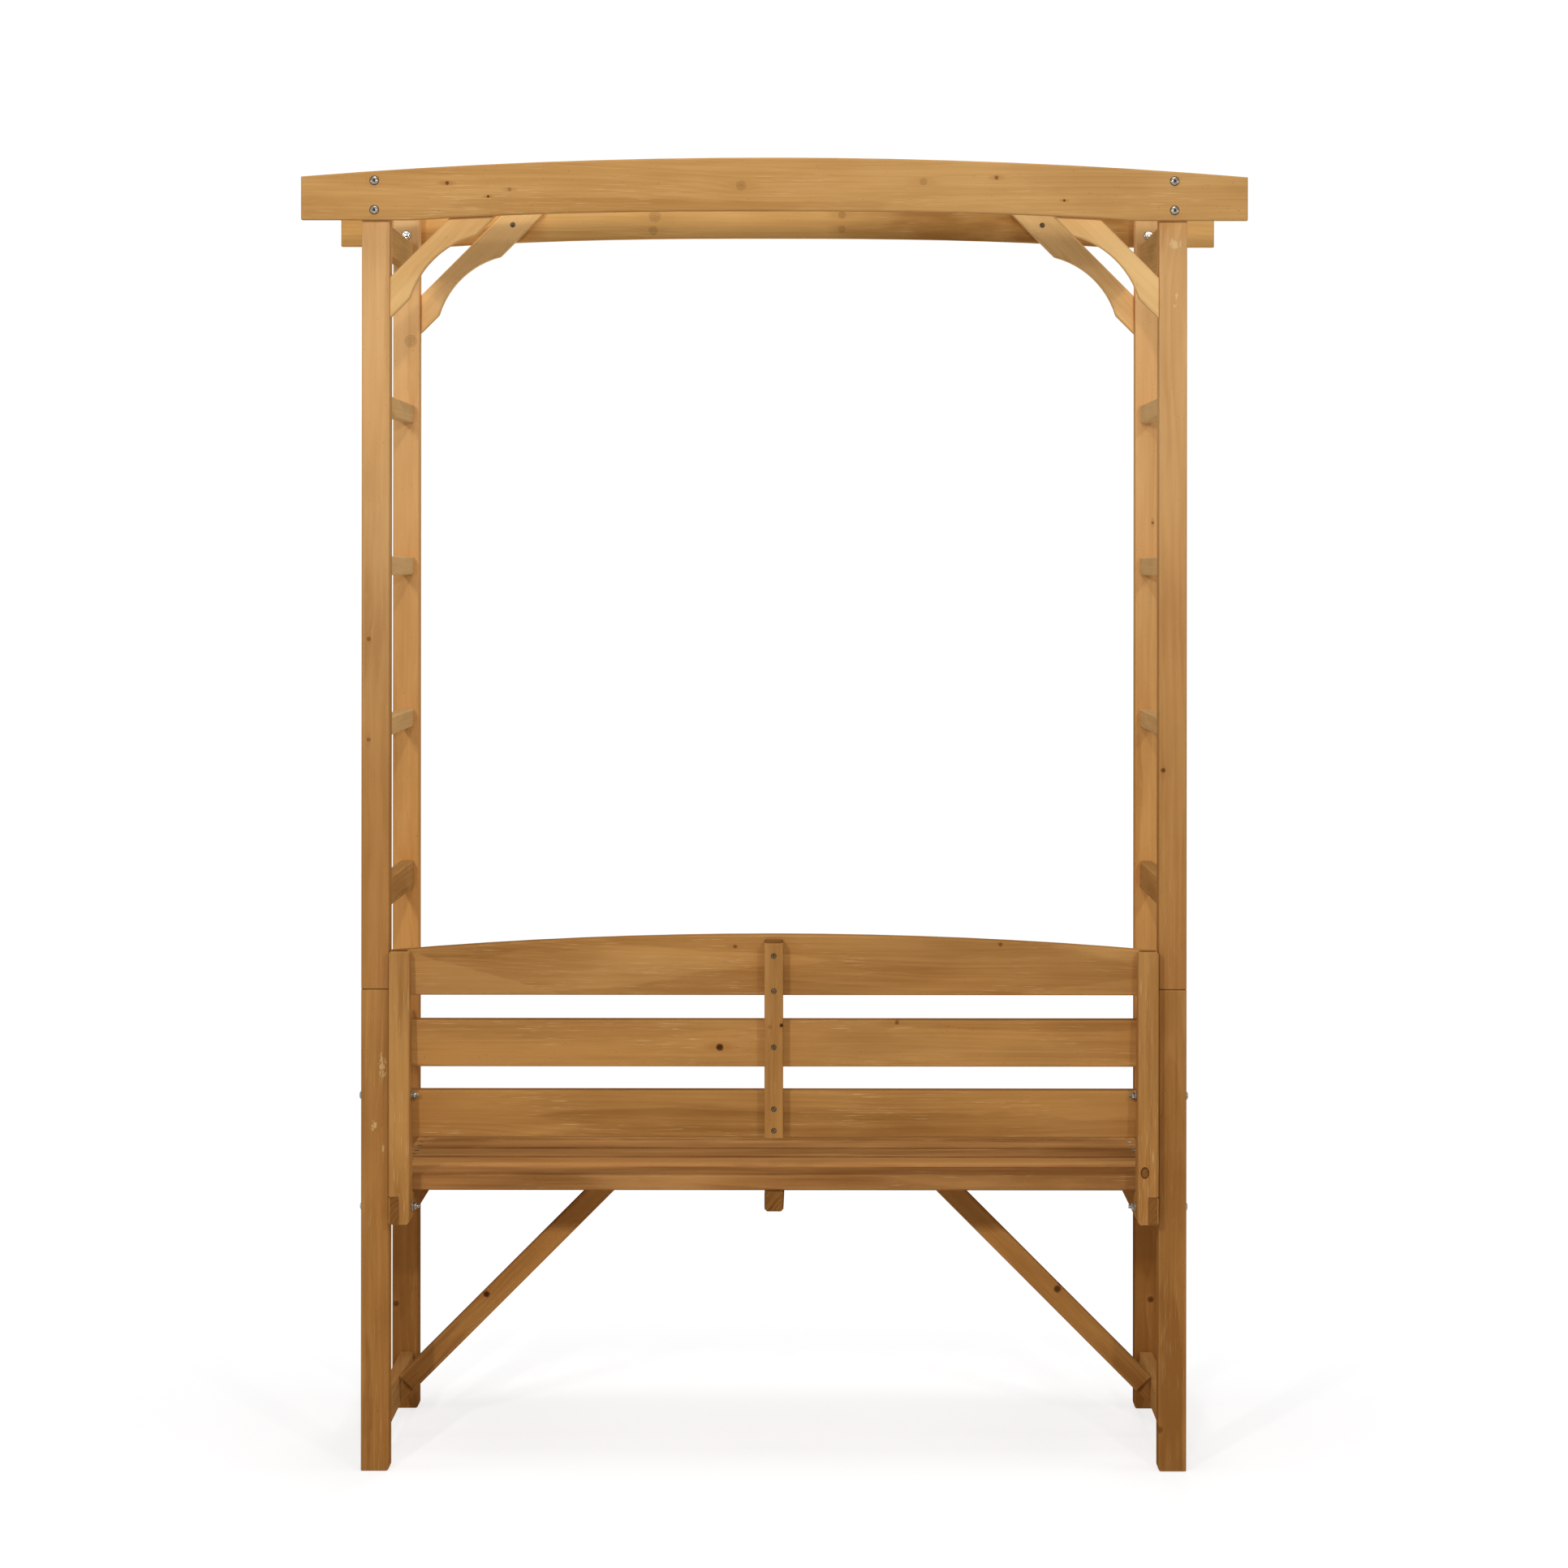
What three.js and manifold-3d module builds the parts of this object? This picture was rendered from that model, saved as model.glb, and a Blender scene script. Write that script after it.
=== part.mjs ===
// Arbour seat: a slatted bench bolted between two open timber sides, under a pair of arched beams.
// Millimetres, +Z up. +Y runs from the back of the seat to its front, +X to the sitter's right.

import * as THREE from "three";
import { mergeVertices } from "three/addons/utils/BufferGeometryUtils.js";
import Module from "manifold-3d";

// Whole frame
const frameWidth = 1289; // over the outer faces of the posts
const frameDepth = 513; // over the front and rear faces of the posts
const headroom = 1952; // floor to the straight ends of the beams' undersides

// Fits and edges shared by every timber
const jointGap = 0.3; // between neighbouring pieces
const arris = 2; // flat planed along a timber's edges
const endArris = 0.7; // finer flat round the ends that butt against another piece
const overrun = 5; // how far a cutter runs past the face it opens

// Posts, each of two lengths that meet on a square spigot
const postSize = 43.5;
const lowerPostHeight = 752;
const postTopCover = 5; // beams' top edges above the post tops
const footRadius = 4.5; // inner bottom corner of each foot
const spigotSize = 24;
const spigotLength = 60;

// Cross-pieces of each side, tenoned into the posts
const railHeight = 46;
const railThickness = 22;
const railInset = 8; // from the posts' inner faces
const rungHeight = 30;
const rungCount = 3;
const footRailBottom = 49;
const armRailDrop = 82; // from the lower posts' tops to the arm rail's top
const latticeRailRise = 121; // from the lower posts' tops to the lattice rail's underside
const topRailLap = 1; // top rail's top edge above the beams' undersides
const tenonLength = 18;
const tenonThickness = 10;
const tenonShoulder = 5;

// Arched beams, outside the posts at the back and at the front
const beamOverhang = 92.5; // past the posts' outer faces
const beamThickness = 20;
const beamEndHeight = 67;
const beamTopRise = 30; // from the ends of the top edge to its crown
const beamArchRise = 14.5; // from the straight ends of the underside to its middle
const beamArchPower = 2.6; // 2 is a plain curve, and more gives a flatter middle and fuller shoulders
const beamFlatInset = 36; // straight ends of the underside run this far past the posts' inner faces

// Scooped corner brackets behind the beams
const bracketWidth = 44.5; // at the foot
const bracketNose = 3.5; // wider past the scoop than at the foot
const bracketThickness = 22;
const rearBracketDrop = 151.5; // foot of a rear bracket below the beams' undersides
const frontBracketDrop = 148;
const bracketRise = 56; // top cut above the beams' undersides
const scoopStart = 43.5; // along the lower edge from the foot
const scoopLength = 143;
const scoopDepth = 19;

// Bench: seat
const seatHeight = 457.5; // top of the seat slats
const seatSlatThickness = 25.5;
const seatSlatCount = 5;
const seatSlatGap = 13.5;
const seatFrontInset = 2; // front slat behind the front posts' faces
const seatRearClearance = 1.3; // rear slat before the stiles
const slatEndClearance = 1; // slat ends to the posts
const seatRailHeight = 43;
const seatRailFrontInset = 3;
const bearerWidth = 30;
const bearerHeight = 33;
const bearerArris = 4;
const bearerRearInset = 1;
const bearerFrontInset = 6;

// Bench: back, leaning on a wedge-shaped stile at each side
const benchClearance = 2.2; // stiles and seat rails to the posts
const stileThickness = 31.5;
const stileTop = 813.5;
const stileTopDepth = 32;
const stileSetback = 27; // stiles' rear faces behind the rear posts
const stileArris = 3;
const backLean = THREE.MathUtils.degToRad(5.1);
const backSlatThickness = 20;
const backSlatRise = 58.9; // lowest back slat above the seat, up the slope
const lowBackSlatHeight = 75;
const lowBackGap = 37.7;
const midBackSlatHeight = 74.2;
const highBackGap = 39.4;
const topBackSlatHeight = 69; // at its ends
const backCrown = 26;
const battenWidth = 29;
const battenDepth = 33;
const battenFootInset = 6.5;
const battenHeadInset = 6;

// Diagonal braces from the foot rails to the underside of the seat
const braceSize = 33;
const braceFoot = 53;
const braceNotch = 12; // rear part of the foot that is cut square instead of mitred
const diagonalLean = THREE.MathUtils.degToRad(45);

// Oval timber plug in the right stile
const plugWidth = 12.5;
const plugHeight = 17.5;
const plugDepth = 10;
const plugInset = 10; // centre to the stile's inner face
const plugRise = 12.5; // centre above the seat

// Domed bolts with a washer and a nut
const boltRadius = 3;
const boltClearance = 0.3;
const headRadius = 6.5;
const headHeight = 3.5;
const washerRadius = 7;
const washerThickness = 1.5;
const nutAcrossFlats = 10;
const nutHeight = 5;
const boltTip = 5;
const beamBoltInset = 15; // from the beam's lower and upper edges
const stileBoltDrop = 167; // below the lower posts' tops
const stileBoltInset = 13; // from the rear posts' rear faces

// Steps round curves
const beamSteps = 16;
const crownSteps = 16;
const scoopSteps = 12;
const cornerSteps = 3;
const domeSteps = 3;
const roundSides = 12;
const plugSides = 16;
const nutSides = 6;

// Finishes: colour, roughness and metalness
const stainedTimber = { color: 0xb5823f, roughness: 0.55, metalness: 0 };
const paleTimber = { color: 0xc49a5c, roughness: 0.6, metalness: 0 };
const darkTimber = { color: 0x8a5a2b, roughness: 0.6, metalness: 0 };
const zincSteel = { color: 0x9a9da0, roughness: 0.4, metalness: 1 };

// Places that several pieces share
const postFace = frameWidth / 2 - postSize; // inner faces of the posts
const postCentre = postFace + postSize / 2;
const rearPostCentre = postSize / 2;
const frontPostCentre = frameDepth - postSize / 2;
const railFace = postFace + railInset;
const railCentre = railFace + railThickness / 2;
const railStart = postSize + jointGap;
const railLength = frameDepth - 2 * railStart;
const seatUnderside = seatHeight - seatSlatThickness;
const seatRailTop = seatUnderside - jointGap;
const seatRailBottom = seatRailTop - seatRailHeight;
const seatBoltHeight = seatRailBottom + seatRailHeight / 2;
const stileBoltHeight = lowerPostHeight - stileBoltDrop;
const beamLength = frameWidth + 2 * beamOverhang;
const slatLength = 2 * (postFace - slatEndClearance);
const stileFace = postFace - benchClearance - stileThickness; // inner faces of the stiles
const lapSplit = stileThickness / 2; // stile and seat rail share their thickness in the lap
const seatRear = stileFrontAt(seatUnderside) + seatRearClearance;
const seatFront = frameDepth - seatFrontInset;
const postTop = beamTopAt(postCentre) - postTopCover;
const upperPostStart = lowerPostHeight + jointGap;

const right = new THREE.Vector3(1, 0, 0);
const forward = new THREE.Vector3(0, 1, 0);
const up = new THREE.Vector3(0, 0, 1);
const left = right.clone().negate();
const backward = forward.clone().negate();

const wasm = await Module();
wasm.setup();

// Front edge of the stiles at a height above the floor
function stileFrontAt(height) {
  return stileTopDepth - stileSetback + (stileTop - height) * Math.tan(backLean);
}

// Top edge of the beams at a distance from the middle
function beamTopAt(distance) {
  const half = beamLength / 2;
  const radius = (half ** 2 + beamTopRise ** 2) / (2 * beamTopRise);
  const crown = headroom + beamEndHeight + beamTopRise;
  return crown - radius + Math.sqrt(radius ** 2 - distance ** 2);
}

function point(x, y) {
  return new THREE.Vector2(x, y);
}

// Points between two others on a circular arc that bows out by rise, to the left of the way it runs
function bow(from, to, rise, steps) {
  const chord = to.clone().sub(from);
  const half = chord.length() / 2;
  const radius = (half ** 2 + rise ** 2) / (2 * rise);
  const outward = point(-chord.y, chord.x).normalize();
  const points = [];
  for (let step = 1; step < steps; step++) {
    const share = step / steps;
    const along = (2 * share - 1) * half;
    const height = Math.sign(rise) * Math.sqrt(radius ** 2 - along ** 2) - radius + rise;
    points.push(from.clone().addScaledVector(chord, share).addScaledVector(outward, height));
  }
  return points;
}

// A centred rectangle with a flat across each corner
function easedRectangle(width, height, ease) {
  const x = width / 2;
  const y = height / 2;
  return [
    point(ease - x, -y),
    point(x - ease, -y),
    point(x, ease - y),
    point(x, y - ease),
    point(x - ease, y),
    point(ease - x, y),
    point(-x, y - ease),
    point(-x, ease - y),
  ];
}

// An outline carried along Z, with its end faces eased all round
function extruded(outline, length, ease) {
  const made = new THREE.ExtrudeGeometry(new THREE.Shape(outline), {
    depth: length - 2 * ease,
    bevelEnabled: ease > 0,
    bevelThickness: ease,
    bevelSize: ease,
    bevelOffset: -ease,
    bevelSegments: 1,
  });
  return made.translate(0, 0, ease);
}

// A board sawn to an outline, its thickness along Z
function board(outline, thickness, ease = arris) {
  return extruded(outline, thickness, ease);
}

// A straight stick with eased edges, its section centred on the Z axis and its length along it
function stick(width, height, length, ease = arris) {
  return extruded(easedRectangle(width, height, ease), length, endArris);
}

function block(width, depth, height, x, y, z) {
  return new THREE.BoxGeometry(width, depth, height).translate(x, y, z);
}

// A drill for one bolt, centred on a point and running along an axis
function drill(axis, x, y, z) {
  const radius = boltRadius + boltClearance;
  const turn = new THREE.Quaternion().setFromUnitVectors(forward, axis);
  const made = new THREE.CylinderGeometry(radius, radius, 4 * postSize, roundSides);
  return made.applyQuaternion(turn).translate(x, y, z);
}

function solidOf(geometry) {
  const bare = geometry.clone();
  bare.deleteAttribute("normal");
  bare.deleteAttribute("uv");
  const merged = mergeVertices(bare);
  return new wasm.Manifold(
    new wasm.Mesh({
      numProp: 3,
      vertProperties: merged.attributes.position.array,
      triVerts: new Uint32Array(merged.index.array),
    }),
  );
}

function geometryOf(solid) {
  const mesh = solid.getMesh();
  const made = new THREE.BufferGeometry();
  made.setAttribute("position", new THREE.BufferAttribute(mesh.vertProperties, mesh.numProp));
  made.setIndex(new THREE.BufferAttribute(mesh.triVerts, 1));
  const faceted = made.toNonIndexed();
  faceted.computeVertexNormals();
  return faceted;
}

function join(...geometries) {
  return geometryOf(geometries.map(solidOf).reduce((sum, solid) => sum.add(solid)));
}

function common(first, second) {
  return geometryOf(solidOf(first).intersect(solidOf(second)));
}

function cut(geometry, ...cutters) {
  return geometryOf(cutters.map(solidOf).reduce((rest, solid) => rest.subtract(solid), solidOf(geometry)));
}

// A named mesh at a place, its own X and Y axes laid along two directions
function place(group, name, geometry, finish, at, along = right, across = forward) {
  const mesh = new THREE.Mesh(geometry, new THREE.MeshStandardMaterial(finish));
  const normal = along.clone().cross(across);
  mesh.name = name;
  mesh.position.set(...at);
  mesh.quaternion.setFromRotationMatrix(new THREE.Matrix4().makeBasis(along, across, normal));
  group.add(mesh);
}

// The cross-pieces of a side, from the foot up
function crossPieces() {
  const armRailBottom = lowerPostHeight - armRailDrop - railHeight;
  const latticeRailBottom = lowerPostHeight + latticeRailRise;
  const latticeRailTop = latticeRailBottom + railHeight;
  const topRailBottom = headroom + topRailLap - railHeight;
  const rungGap = (topRailBottom - latticeRailTop - rungCount * rungHeight) / (rungCount + 1);
  const pieces = [
    { name: "foot_rail", bottom: footRailBottom, height: railHeight, finish: stainedTimber },
    { name: "arm_rail", bottom: armRailBottom, height: railHeight, finish: stainedTimber },
    { name: "lattice_rail", bottom: latticeRailBottom, height: railHeight, finish: stainedTimber },
    { name: "top_rail", bottom: topRailBottom, height: railHeight, finish: stainedTimber },
  ];
  for (let rung = 1; rung <= rungCount; rung++) {
    const bottom = latticeRailTop + rung * rungGap + (rung - 1) * rungHeight;
    pieces.push({ name: `rung_${rung}`, bottom, height: rungHeight, finish: paleTimber });
  }
  return pieces;
}

// A rail or rung with a stub tenon at each end
function railGeometry(height) {
  const body = stick(height, railThickness, railLength);
  const tongue = stick(height - 2 * tenonShoulder, tenonThickness, railLength + 2 * tenonLength, endArris);
  return join(body, tongue.translate(0, 0, -tenonLength));
}

// The mortises of one post length, on its front face or its rear face
function mortises(bottom, top, inward) {
  const cutters = [];
  for (const rail of crossPieces()) {
    const centre = rail.bottom + rail.height / 2;
    if (centre < bottom || centre > top) {
      continue;
    }
    const height = rail.height - 2 * tenonShoulder + 2 * jointGap;
    const middle = inward * (postSize - tenonLength + overrun) / 2;
    const width = tenonThickness + 2 * jointGap;
    const x = railCentre - postCentre;
    cutters.push(block(width, tenonLength + overrun, height, x, middle, centre - bottom));
  }
  return cutters;
}

// Side view of a lower post, with the inner corner of its foot rounded
function footProfile() {
  const half = postSize / 2;
  const outline = [point(half, 0), point(half, lowerPostHeight), point(-half, lowerPostHeight)];
  for (let step = 0; step <= cornerSteps; step++) {
    const angle = (step / cornerSteps) * (Math.PI / 2);
    const x = footRadius * (1 - Math.cos(angle)) - half;
    outline.push(point(x, footRadius * (1 - Math.sin(angle))));
  }
  return board(outline, 2 * postSize, 0).rotateX(Math.PI / 2).translate(0, postSize, 0);
}

function lowerPost(inward, bolts) {
  const socketSize = spigotSize + 2 * jointGap;
  const socketDepth = spigotLength + overrun;
  const socketMiddle = lowerPostHeight - socketDepth / 2 + overrun;
  return cut(
    common(stick(postSize, postSize, lowerPostHeight), footProfile()),
    block(socketSize, socketSize, socketDepth, 0, 0, socketMiddle),
    ...mortises(0, lowerPostHeight, inward),
    ...bolts.map(({ y, z }) => drill(right, 0, y, z)),
  );
}

function upperPost(inward) {
  const length = postTop - upperPostStart;
  const spigot = stick(spigotSize, spigotSize, spigotLength + postSize);
  return cut(
    join(stick(postSize, postSize, length), spigot.translate(0, 0, -spigotLength)),
    ...mortises(upperPostStart, postTop, inward),
    ...beamBoltHeights().map((height) => drill(forward, 0, 0, height - upperPostStart)),
  );
}

function beamBoltHeights() {
  return [headroom + beamBoltInset, beamTopAt(postCentre) - beamBoltInset];
}

// Side view of the stile between two heights, its front edge moved forward by extra
function stileOutline(bottom, top, extra) {
  return [
    point(-stileSetback, bottom),
    point(stileFrontAt(bottom) + extra, bottom),
    point(stileFrontAt(top) + extra, top),
    point(-stileSetback, top),
  ];
}

// The wedge-shaped stile, its outer half cut away where the seat rail's tongue lies
function stileGeometry(plugged) {
  const depth = 2 * stileFrontAt(seatRailBottom);
  const lapTop = seatRailTop + jointGap;
  const lapHeight = lapTop - seatRailBottom + overrun;
  const lapWidth = stileThickness - lapSplit + jointGap / 2 + overrun;
  const lapX = stileThickness + overrun - lapWidth / 2;
  const cutters = [
    block(lapWidth, 2 * depth, lapHeight, lapX, 0, lapTop - lapHeight / 2),
    drill(right, 0, rearPostCentre, seatBoltHeight),
    drill(right, 0, stileBoltInset, stileBoltHeight),
  ];
  if (plugged) {
    const hole = board(plugOutline(jointGap), plugDepth + jointGap + overrun, 0);
    hole.applyMatrix4(new THREE.Matrix4().makeBasis(left, up, forward));
    cutters.push(hole.translate(plugInset, -stileSetback - overrun, seatHeight + plugRise));
  }
  const outline = stileOutline(seatRailBottom, stileTop, 0);
  const blank = board(outline, stileThickness, stileArris);
  return cut(blank.applyMatrix4(new THREE.Matrix4().makeBasis(forward, up, right)), ...cutters);
}

function plugOutline(extra) {
  const curve = new THREE.EllipseCurve(0, 0, plugWidth / 2 + extra, plugHeight / 2 + extra);
  return curve.getPoints(plugSides).slice(1);
}

// The seat rail, its inner half cut away behind the stile's front edge
function seatRailGeometry() {
  const end = frameDepth - seatRailFrontInset;
  const outline = [
    point(-stileSetback, seatRailBottom),
    point(end, seatRailBottom),
    point(end, seatRailTop),
    point(-stileSetback, seatRailTop),
  ];
  const slope = jointGap / Math.cos(backLean);
  const lap = stileOutline(seatRailBottom - overrun, seatRailTop + overrun, slope);
  lap[0].x -= overrun;
  lap[3].x -= overrun;
  const axes = new THREE.Matrix4().makeBasis(forward, up, right);
  const blank = board(outline, stileThickness).applyMatrix4(axes);
  const notch = board(lap, lapSplit + jointGap / 2 + overrun, 0).applyMatrix4(axes);
  return cut(
    blank,
    notch.translate(-overrun, 0, 0),
    drill(right, 0, rearPostCentre, seatBoltHeight),
    drill(right, 0, frontPostCentre, seatBoltHeight),
  );
}

// Outline of a diagonal that rises from an upright face to a level cut: its lower edge runs along X
function diagonalOutline(width, rise) {
  const sine = Math.sin(diagonalLean);
  const cosine = Math.cos(diagonalLean);
  return [
    point(0, 0),
    point(rise / sine, 0),
    point((rise - width * cosine) / sine, width),
    point(width * Math.tan(diagonalLean), width),
  ];
}

function bracketGeometry(drop) {
  const [foot, head, ...rest] = diagonalOutline(bracketWidth, drop + bracketRise);
  const start = point(scoopStart, 0);
  const end = point(scoopStart + scoopLength, -bracketNose);
  const nose = point(head.x + bracketNose / Math.tan(diagonalLean), -bracketNose);
  const scoop = bow(start, end, scoopDepth, scoopSteps);
  return board([foot, start, ...scoop, end, nose, ...rest], bracketThickness);
}

// The brace is mitred to the foot rail, but for the rear part of its foot, which is cut square
function braceGeometry() {
  const outline = diagonalOutline(braceSize, seatRailTop - braceFoot);
  const square = outline[3].x;
  const length = square + overrun;
  const depth = braceNotch + overrun;
  const notch = block(length, 2 * braceSize, depth, square - length / 2, braceSize / 2, braceNotch - depth / 2);
  return cut(board(outline, braceSize), notch);
}

function beamGeometry() {
  const end = beamLength / 2;
  const bend = postFace - beamFlatInset;
  const top = beamEndHeight;
  const arch = [];
  for (let step = 0; step <= beamSteps; step++) {
    const across = (2 * step) / beamSteps - 1;
    arch.push(point(across * bend, beamArchRise * (1 - Math.abs(across) ** beamArchPower)));
  }
  const outline = [
    point(-end, 0),
    ...arch,
    point(end, 0),
    point(end, top),
    ...bow(point(end, top), point(-end, top), -beamTopRise, beamSteps),
    point(-end, top),
  ];
  const bores = [];
  for (const x of [-postCentre, postCentre]) {
    for (const height of beamBoltHeights()) {
      bores.push(drill(up, x, height - headroom, 0));
    }
  }
  return cut(board(outline, beamThickness), ...bores);
}

// A bolt along Y: the head below the origin, then the shank through the grip, the washer, nut and tip
function boltGeometry(grip) {
  const profile = [];
  for (let step = 0; step <= domeSteps; step++) {
    const angle = (step / domeSteps) * (Math.PI / 2);
    profile.push(point(headRadius * Math.sin(angle), -headHeight * Math.cos(angle)));
  }
  const seat = grip + washerThickness;
  const tip = seat + nutHeight + boltTip;
  profile.push(
    point(boltRadius, 0),
    point(boltRadius, grip),
    point(washerRadius, grip),
    point(washerRadius, seat),
    point(boltRadius, seat),
    point(boltRadius, tip),
    point(0, tip),
  );
  const nutRadius = nutAcrossFlats / Math.sqrt(3);
  const height = nutHeight + washerThickness / 2;
  const nut = new THREE.CylinderGeometry(nutRadius, nutRadius, height, nutSides);
  return join(new THREE.LatheGeometry(profile, roundSides), nut.translate(0, tip - boltTip - height / 2, 0));
}

// Posts and cross-pieces of one side
function addFrame(group, side) {
  const seatBolt = { y: 0, z: seatBoltHeight };
  const stileBolt = { y: stileBoltInset - rearPostCentre, z: stileBoltHeight };
  const posts = [
    { name: "rear", y: rearPostCentre, inward: 1, bolts: [seatBolt, stileBolt] },
    { name: "front", y: frontPostCentre, inward: -1, bolts: [seatBolt] },
  ];
  for (const post of posts) {
    const foot = lowerPost(post.inward, post.bolts);
    place(group, `${side}_${post.name}_lower_post`, foot, stainedTimber, [postCentre, post.y, 0]);
    const top = upperPost(post.inward);
    const at = [postCentre, post.y, upperPostStart];
    place(group, `${side}_${post.name}_upper_post`, top, stainedTimber, at);
  }
  for (const rail of crossPieces()) {
    const at = [railCentre, railStart, rail.bottom + rail.height / 2];
    place(group, `${side}_${rail.name}`, railGeometry(rail.height), rail.finish, at, up, right);
  }
}

// Brackets and brace of one side, all rising inwards
function addDiagonals(group, side) {
  const along = point(-Math.cos(diagonalLean), Math.sin(diagonalLean));
  const rising = new THREE.Vector3(along.x, 0, along.y);
  const square = new THREE.Vector3(along.y, 0, -along.x);
  const brackets = [
    { name: "rear", y: 0, drop: rearBracketDrop },
    { name: "front", y: frameDepth - bracketThickness, drop: frontBracketDrop },
  ];
  for (const { name, y, drop } of brackets) {
    const at = [postFace - jointGap, y, headroom - drop];
    place(group, `${side}_${name}_bracket`, bracketGeometry(drop), stainedTimber, at, rising, square);
  }
  const at = [railFace - jointGap, (frameDepth - braceSize) / 2, braceFoot];
  place(group, `${side}_brace`, braceGeometry(), stainedTimber, at, rising, square);
}

// Stile and seat rail of one side of the bench, and the oval plug in the right stile
function addBenchSide(group, side) {
  const plugged = side === "right";
  place(group, `${side}_stile`, stileGeometry(plugged), stainedTimber, [stileFace, 0, 0]);
  place(group, `${side}_seat_rail`, seatRailGeometry(), stainedTimber, [stileFace, 0, 0]);
  if (plugged) {
    const at = [stileFace + plugInset, -stileSetback, seatHeight + plugRise];
    place(group, `${side}_stile_plug`, board(plugOutline(0), plugDepth, 0), darkTimber, at, left, up);
  }
}

// Bolts of one side: two through each beam, two through the stile and one through the front of the seat rail
function addBolts(group, side) {
  const beamGrip = beamThickness + postSize + 3 * jointGap;
  const reach = beamThickness + 2 * jointGap;
  beamBoltHeights().forEach((height, index) => {
    const level = ["lower", "upper"][index];
    const rear = [postCentre, -reach, height];
    const front = [postCentre, frameDepth + reach, height];
    place(group, `${side}_rear_${level}_beam_bolt`, boltGeometry(beamGrip), zincSteel, rear);
    const name = `${side}_front_${level}_beam_bolt`;
    place(group, name, boltGeometry(beamGrip), zincSteel, front, left, backward);
  });
  const benchGrip = postSize + benchClearance + stileThickness + 2 * jointGap;
  const outside = frameWidth / 2 + jointGap;
  const bolts = [
    { name: "rear_seat_bolt", y: rearPostCentre, z: seatBoltHeight },
    { name: "stile_bolt", y: stileBoltInset, z: stileBoltHeight },
    { name: "front_seat_bolt", y: frontPostCentre, z: seatBoltHeight },
  ];
  for (const { name, y, z } of bolts) {
    place(group, `${side}_${name}`, boltGeometry(benchGrip), zincSteel, [outside, y, z], forward, left);
  }
}

function addBeams(group) {
  const rear = [0, -jointGap - beamThickness, headroom];
  const front = [0, frameDepth + jointGap, headroom];
  place(group, "rear_beam", beamGeometry(), stainedTimber, rear, left, up);
  place(group, "front_beam", beamGeometry(), stainedTimber, front, left, up);
}

function addSeat(group) {
  const width = (seatFront - seatRear - (seatSlatCount - 1) * seatSlatGap) / seatSlatCount;
  for (let slat = 0; slat < seatSlatCount; slat++) {
    const y = seatRear + width / 2 + slat * (width + seatSlatGap);
    const outline = easedRectangle(slatLength, width, arris);
    const made = board(outline, seatSlatThickness);
    place(group, `seat_slat_${slat + 1}`, made, stainedTimber, [0, y, seatUnderside]);
  }
  const start = seatRear + bearerRearInset;
  const length = seatFront - bearerFrontInset - start;
  const bearer = stick(bearerHeight, bearerWidth, length, bearerArris);
  const at = [0, start, seatRailTop - bearerHeight / 2];
  place(group, "centre_bearer", bearer, stainedTimber, at, up, right);
}

// The back slats and the batten behind them lie in a group that leans with the stiles
function addBack(group) {
  const back = new THREE.Group();
  back.position.set(0, stileFrontAt(seatHeight), seatHeight);
  back.rotation.x = backLean;
  group.add(back);
  const half = slatLength / 2;
  const slats = [
    { name: "low_back_slat", rise: backSlatRise, height: lowBackSlatHeight, crown: 0 },
    { name: "middle_back_slat", rise: lowBackGap, height: midBackSlatHeight, crown: 0 },
    { name: "top_back_slat", rise: highBackGap, height: topBackSlatHeight, crown: backCrown },
  ];
  let top = 0;
  for (const { name, rise, height, crown } of slats) {
    const arch = crown > 0 ? bow(point(half, height), point(-half, height), -crown, crownSteps) : [];
    const outline = [point(-half, 0), point(half, 0), point(half, height), ...arch, point(-half, height)];
    const made = board(outline, backSlatThickness);
    place(back, name, made, stainedTimber, [0, jointGap, top + rise], left, up);
    top += rise + height;
  }
  const foot = backSlatRise + battenFootInset;
  const head = top + backCrown - battenHeadInset;
  const batten = stick(battenWidth, battenDepth, head - foot);
  place(back, "back_batten", batten, stainedTimber, [0, -battenDepth / 2, foot]);
}

const arbour = new THREE.Group();
for (const side of ["left", "right"]) {
  const half = new THREE.Group();
  half.scale.x = side === "left" ? -1 : 1;
  arbour.add(half);
  addFrame(half, side);
  addDiagonals(half, side);
  addBenchSide(half, side);
  addBolts(half, side);
}
addBeams(arbour);
addSeat(arbour);
addBack(arbour);

// The origin is on the floor, under the middle of the whole
arbour.position.y = -new THREE.Box3().setFromObject(arbour).getCenter(new THREE.Vector3()).y;

export default arbour;
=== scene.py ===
import math

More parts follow.
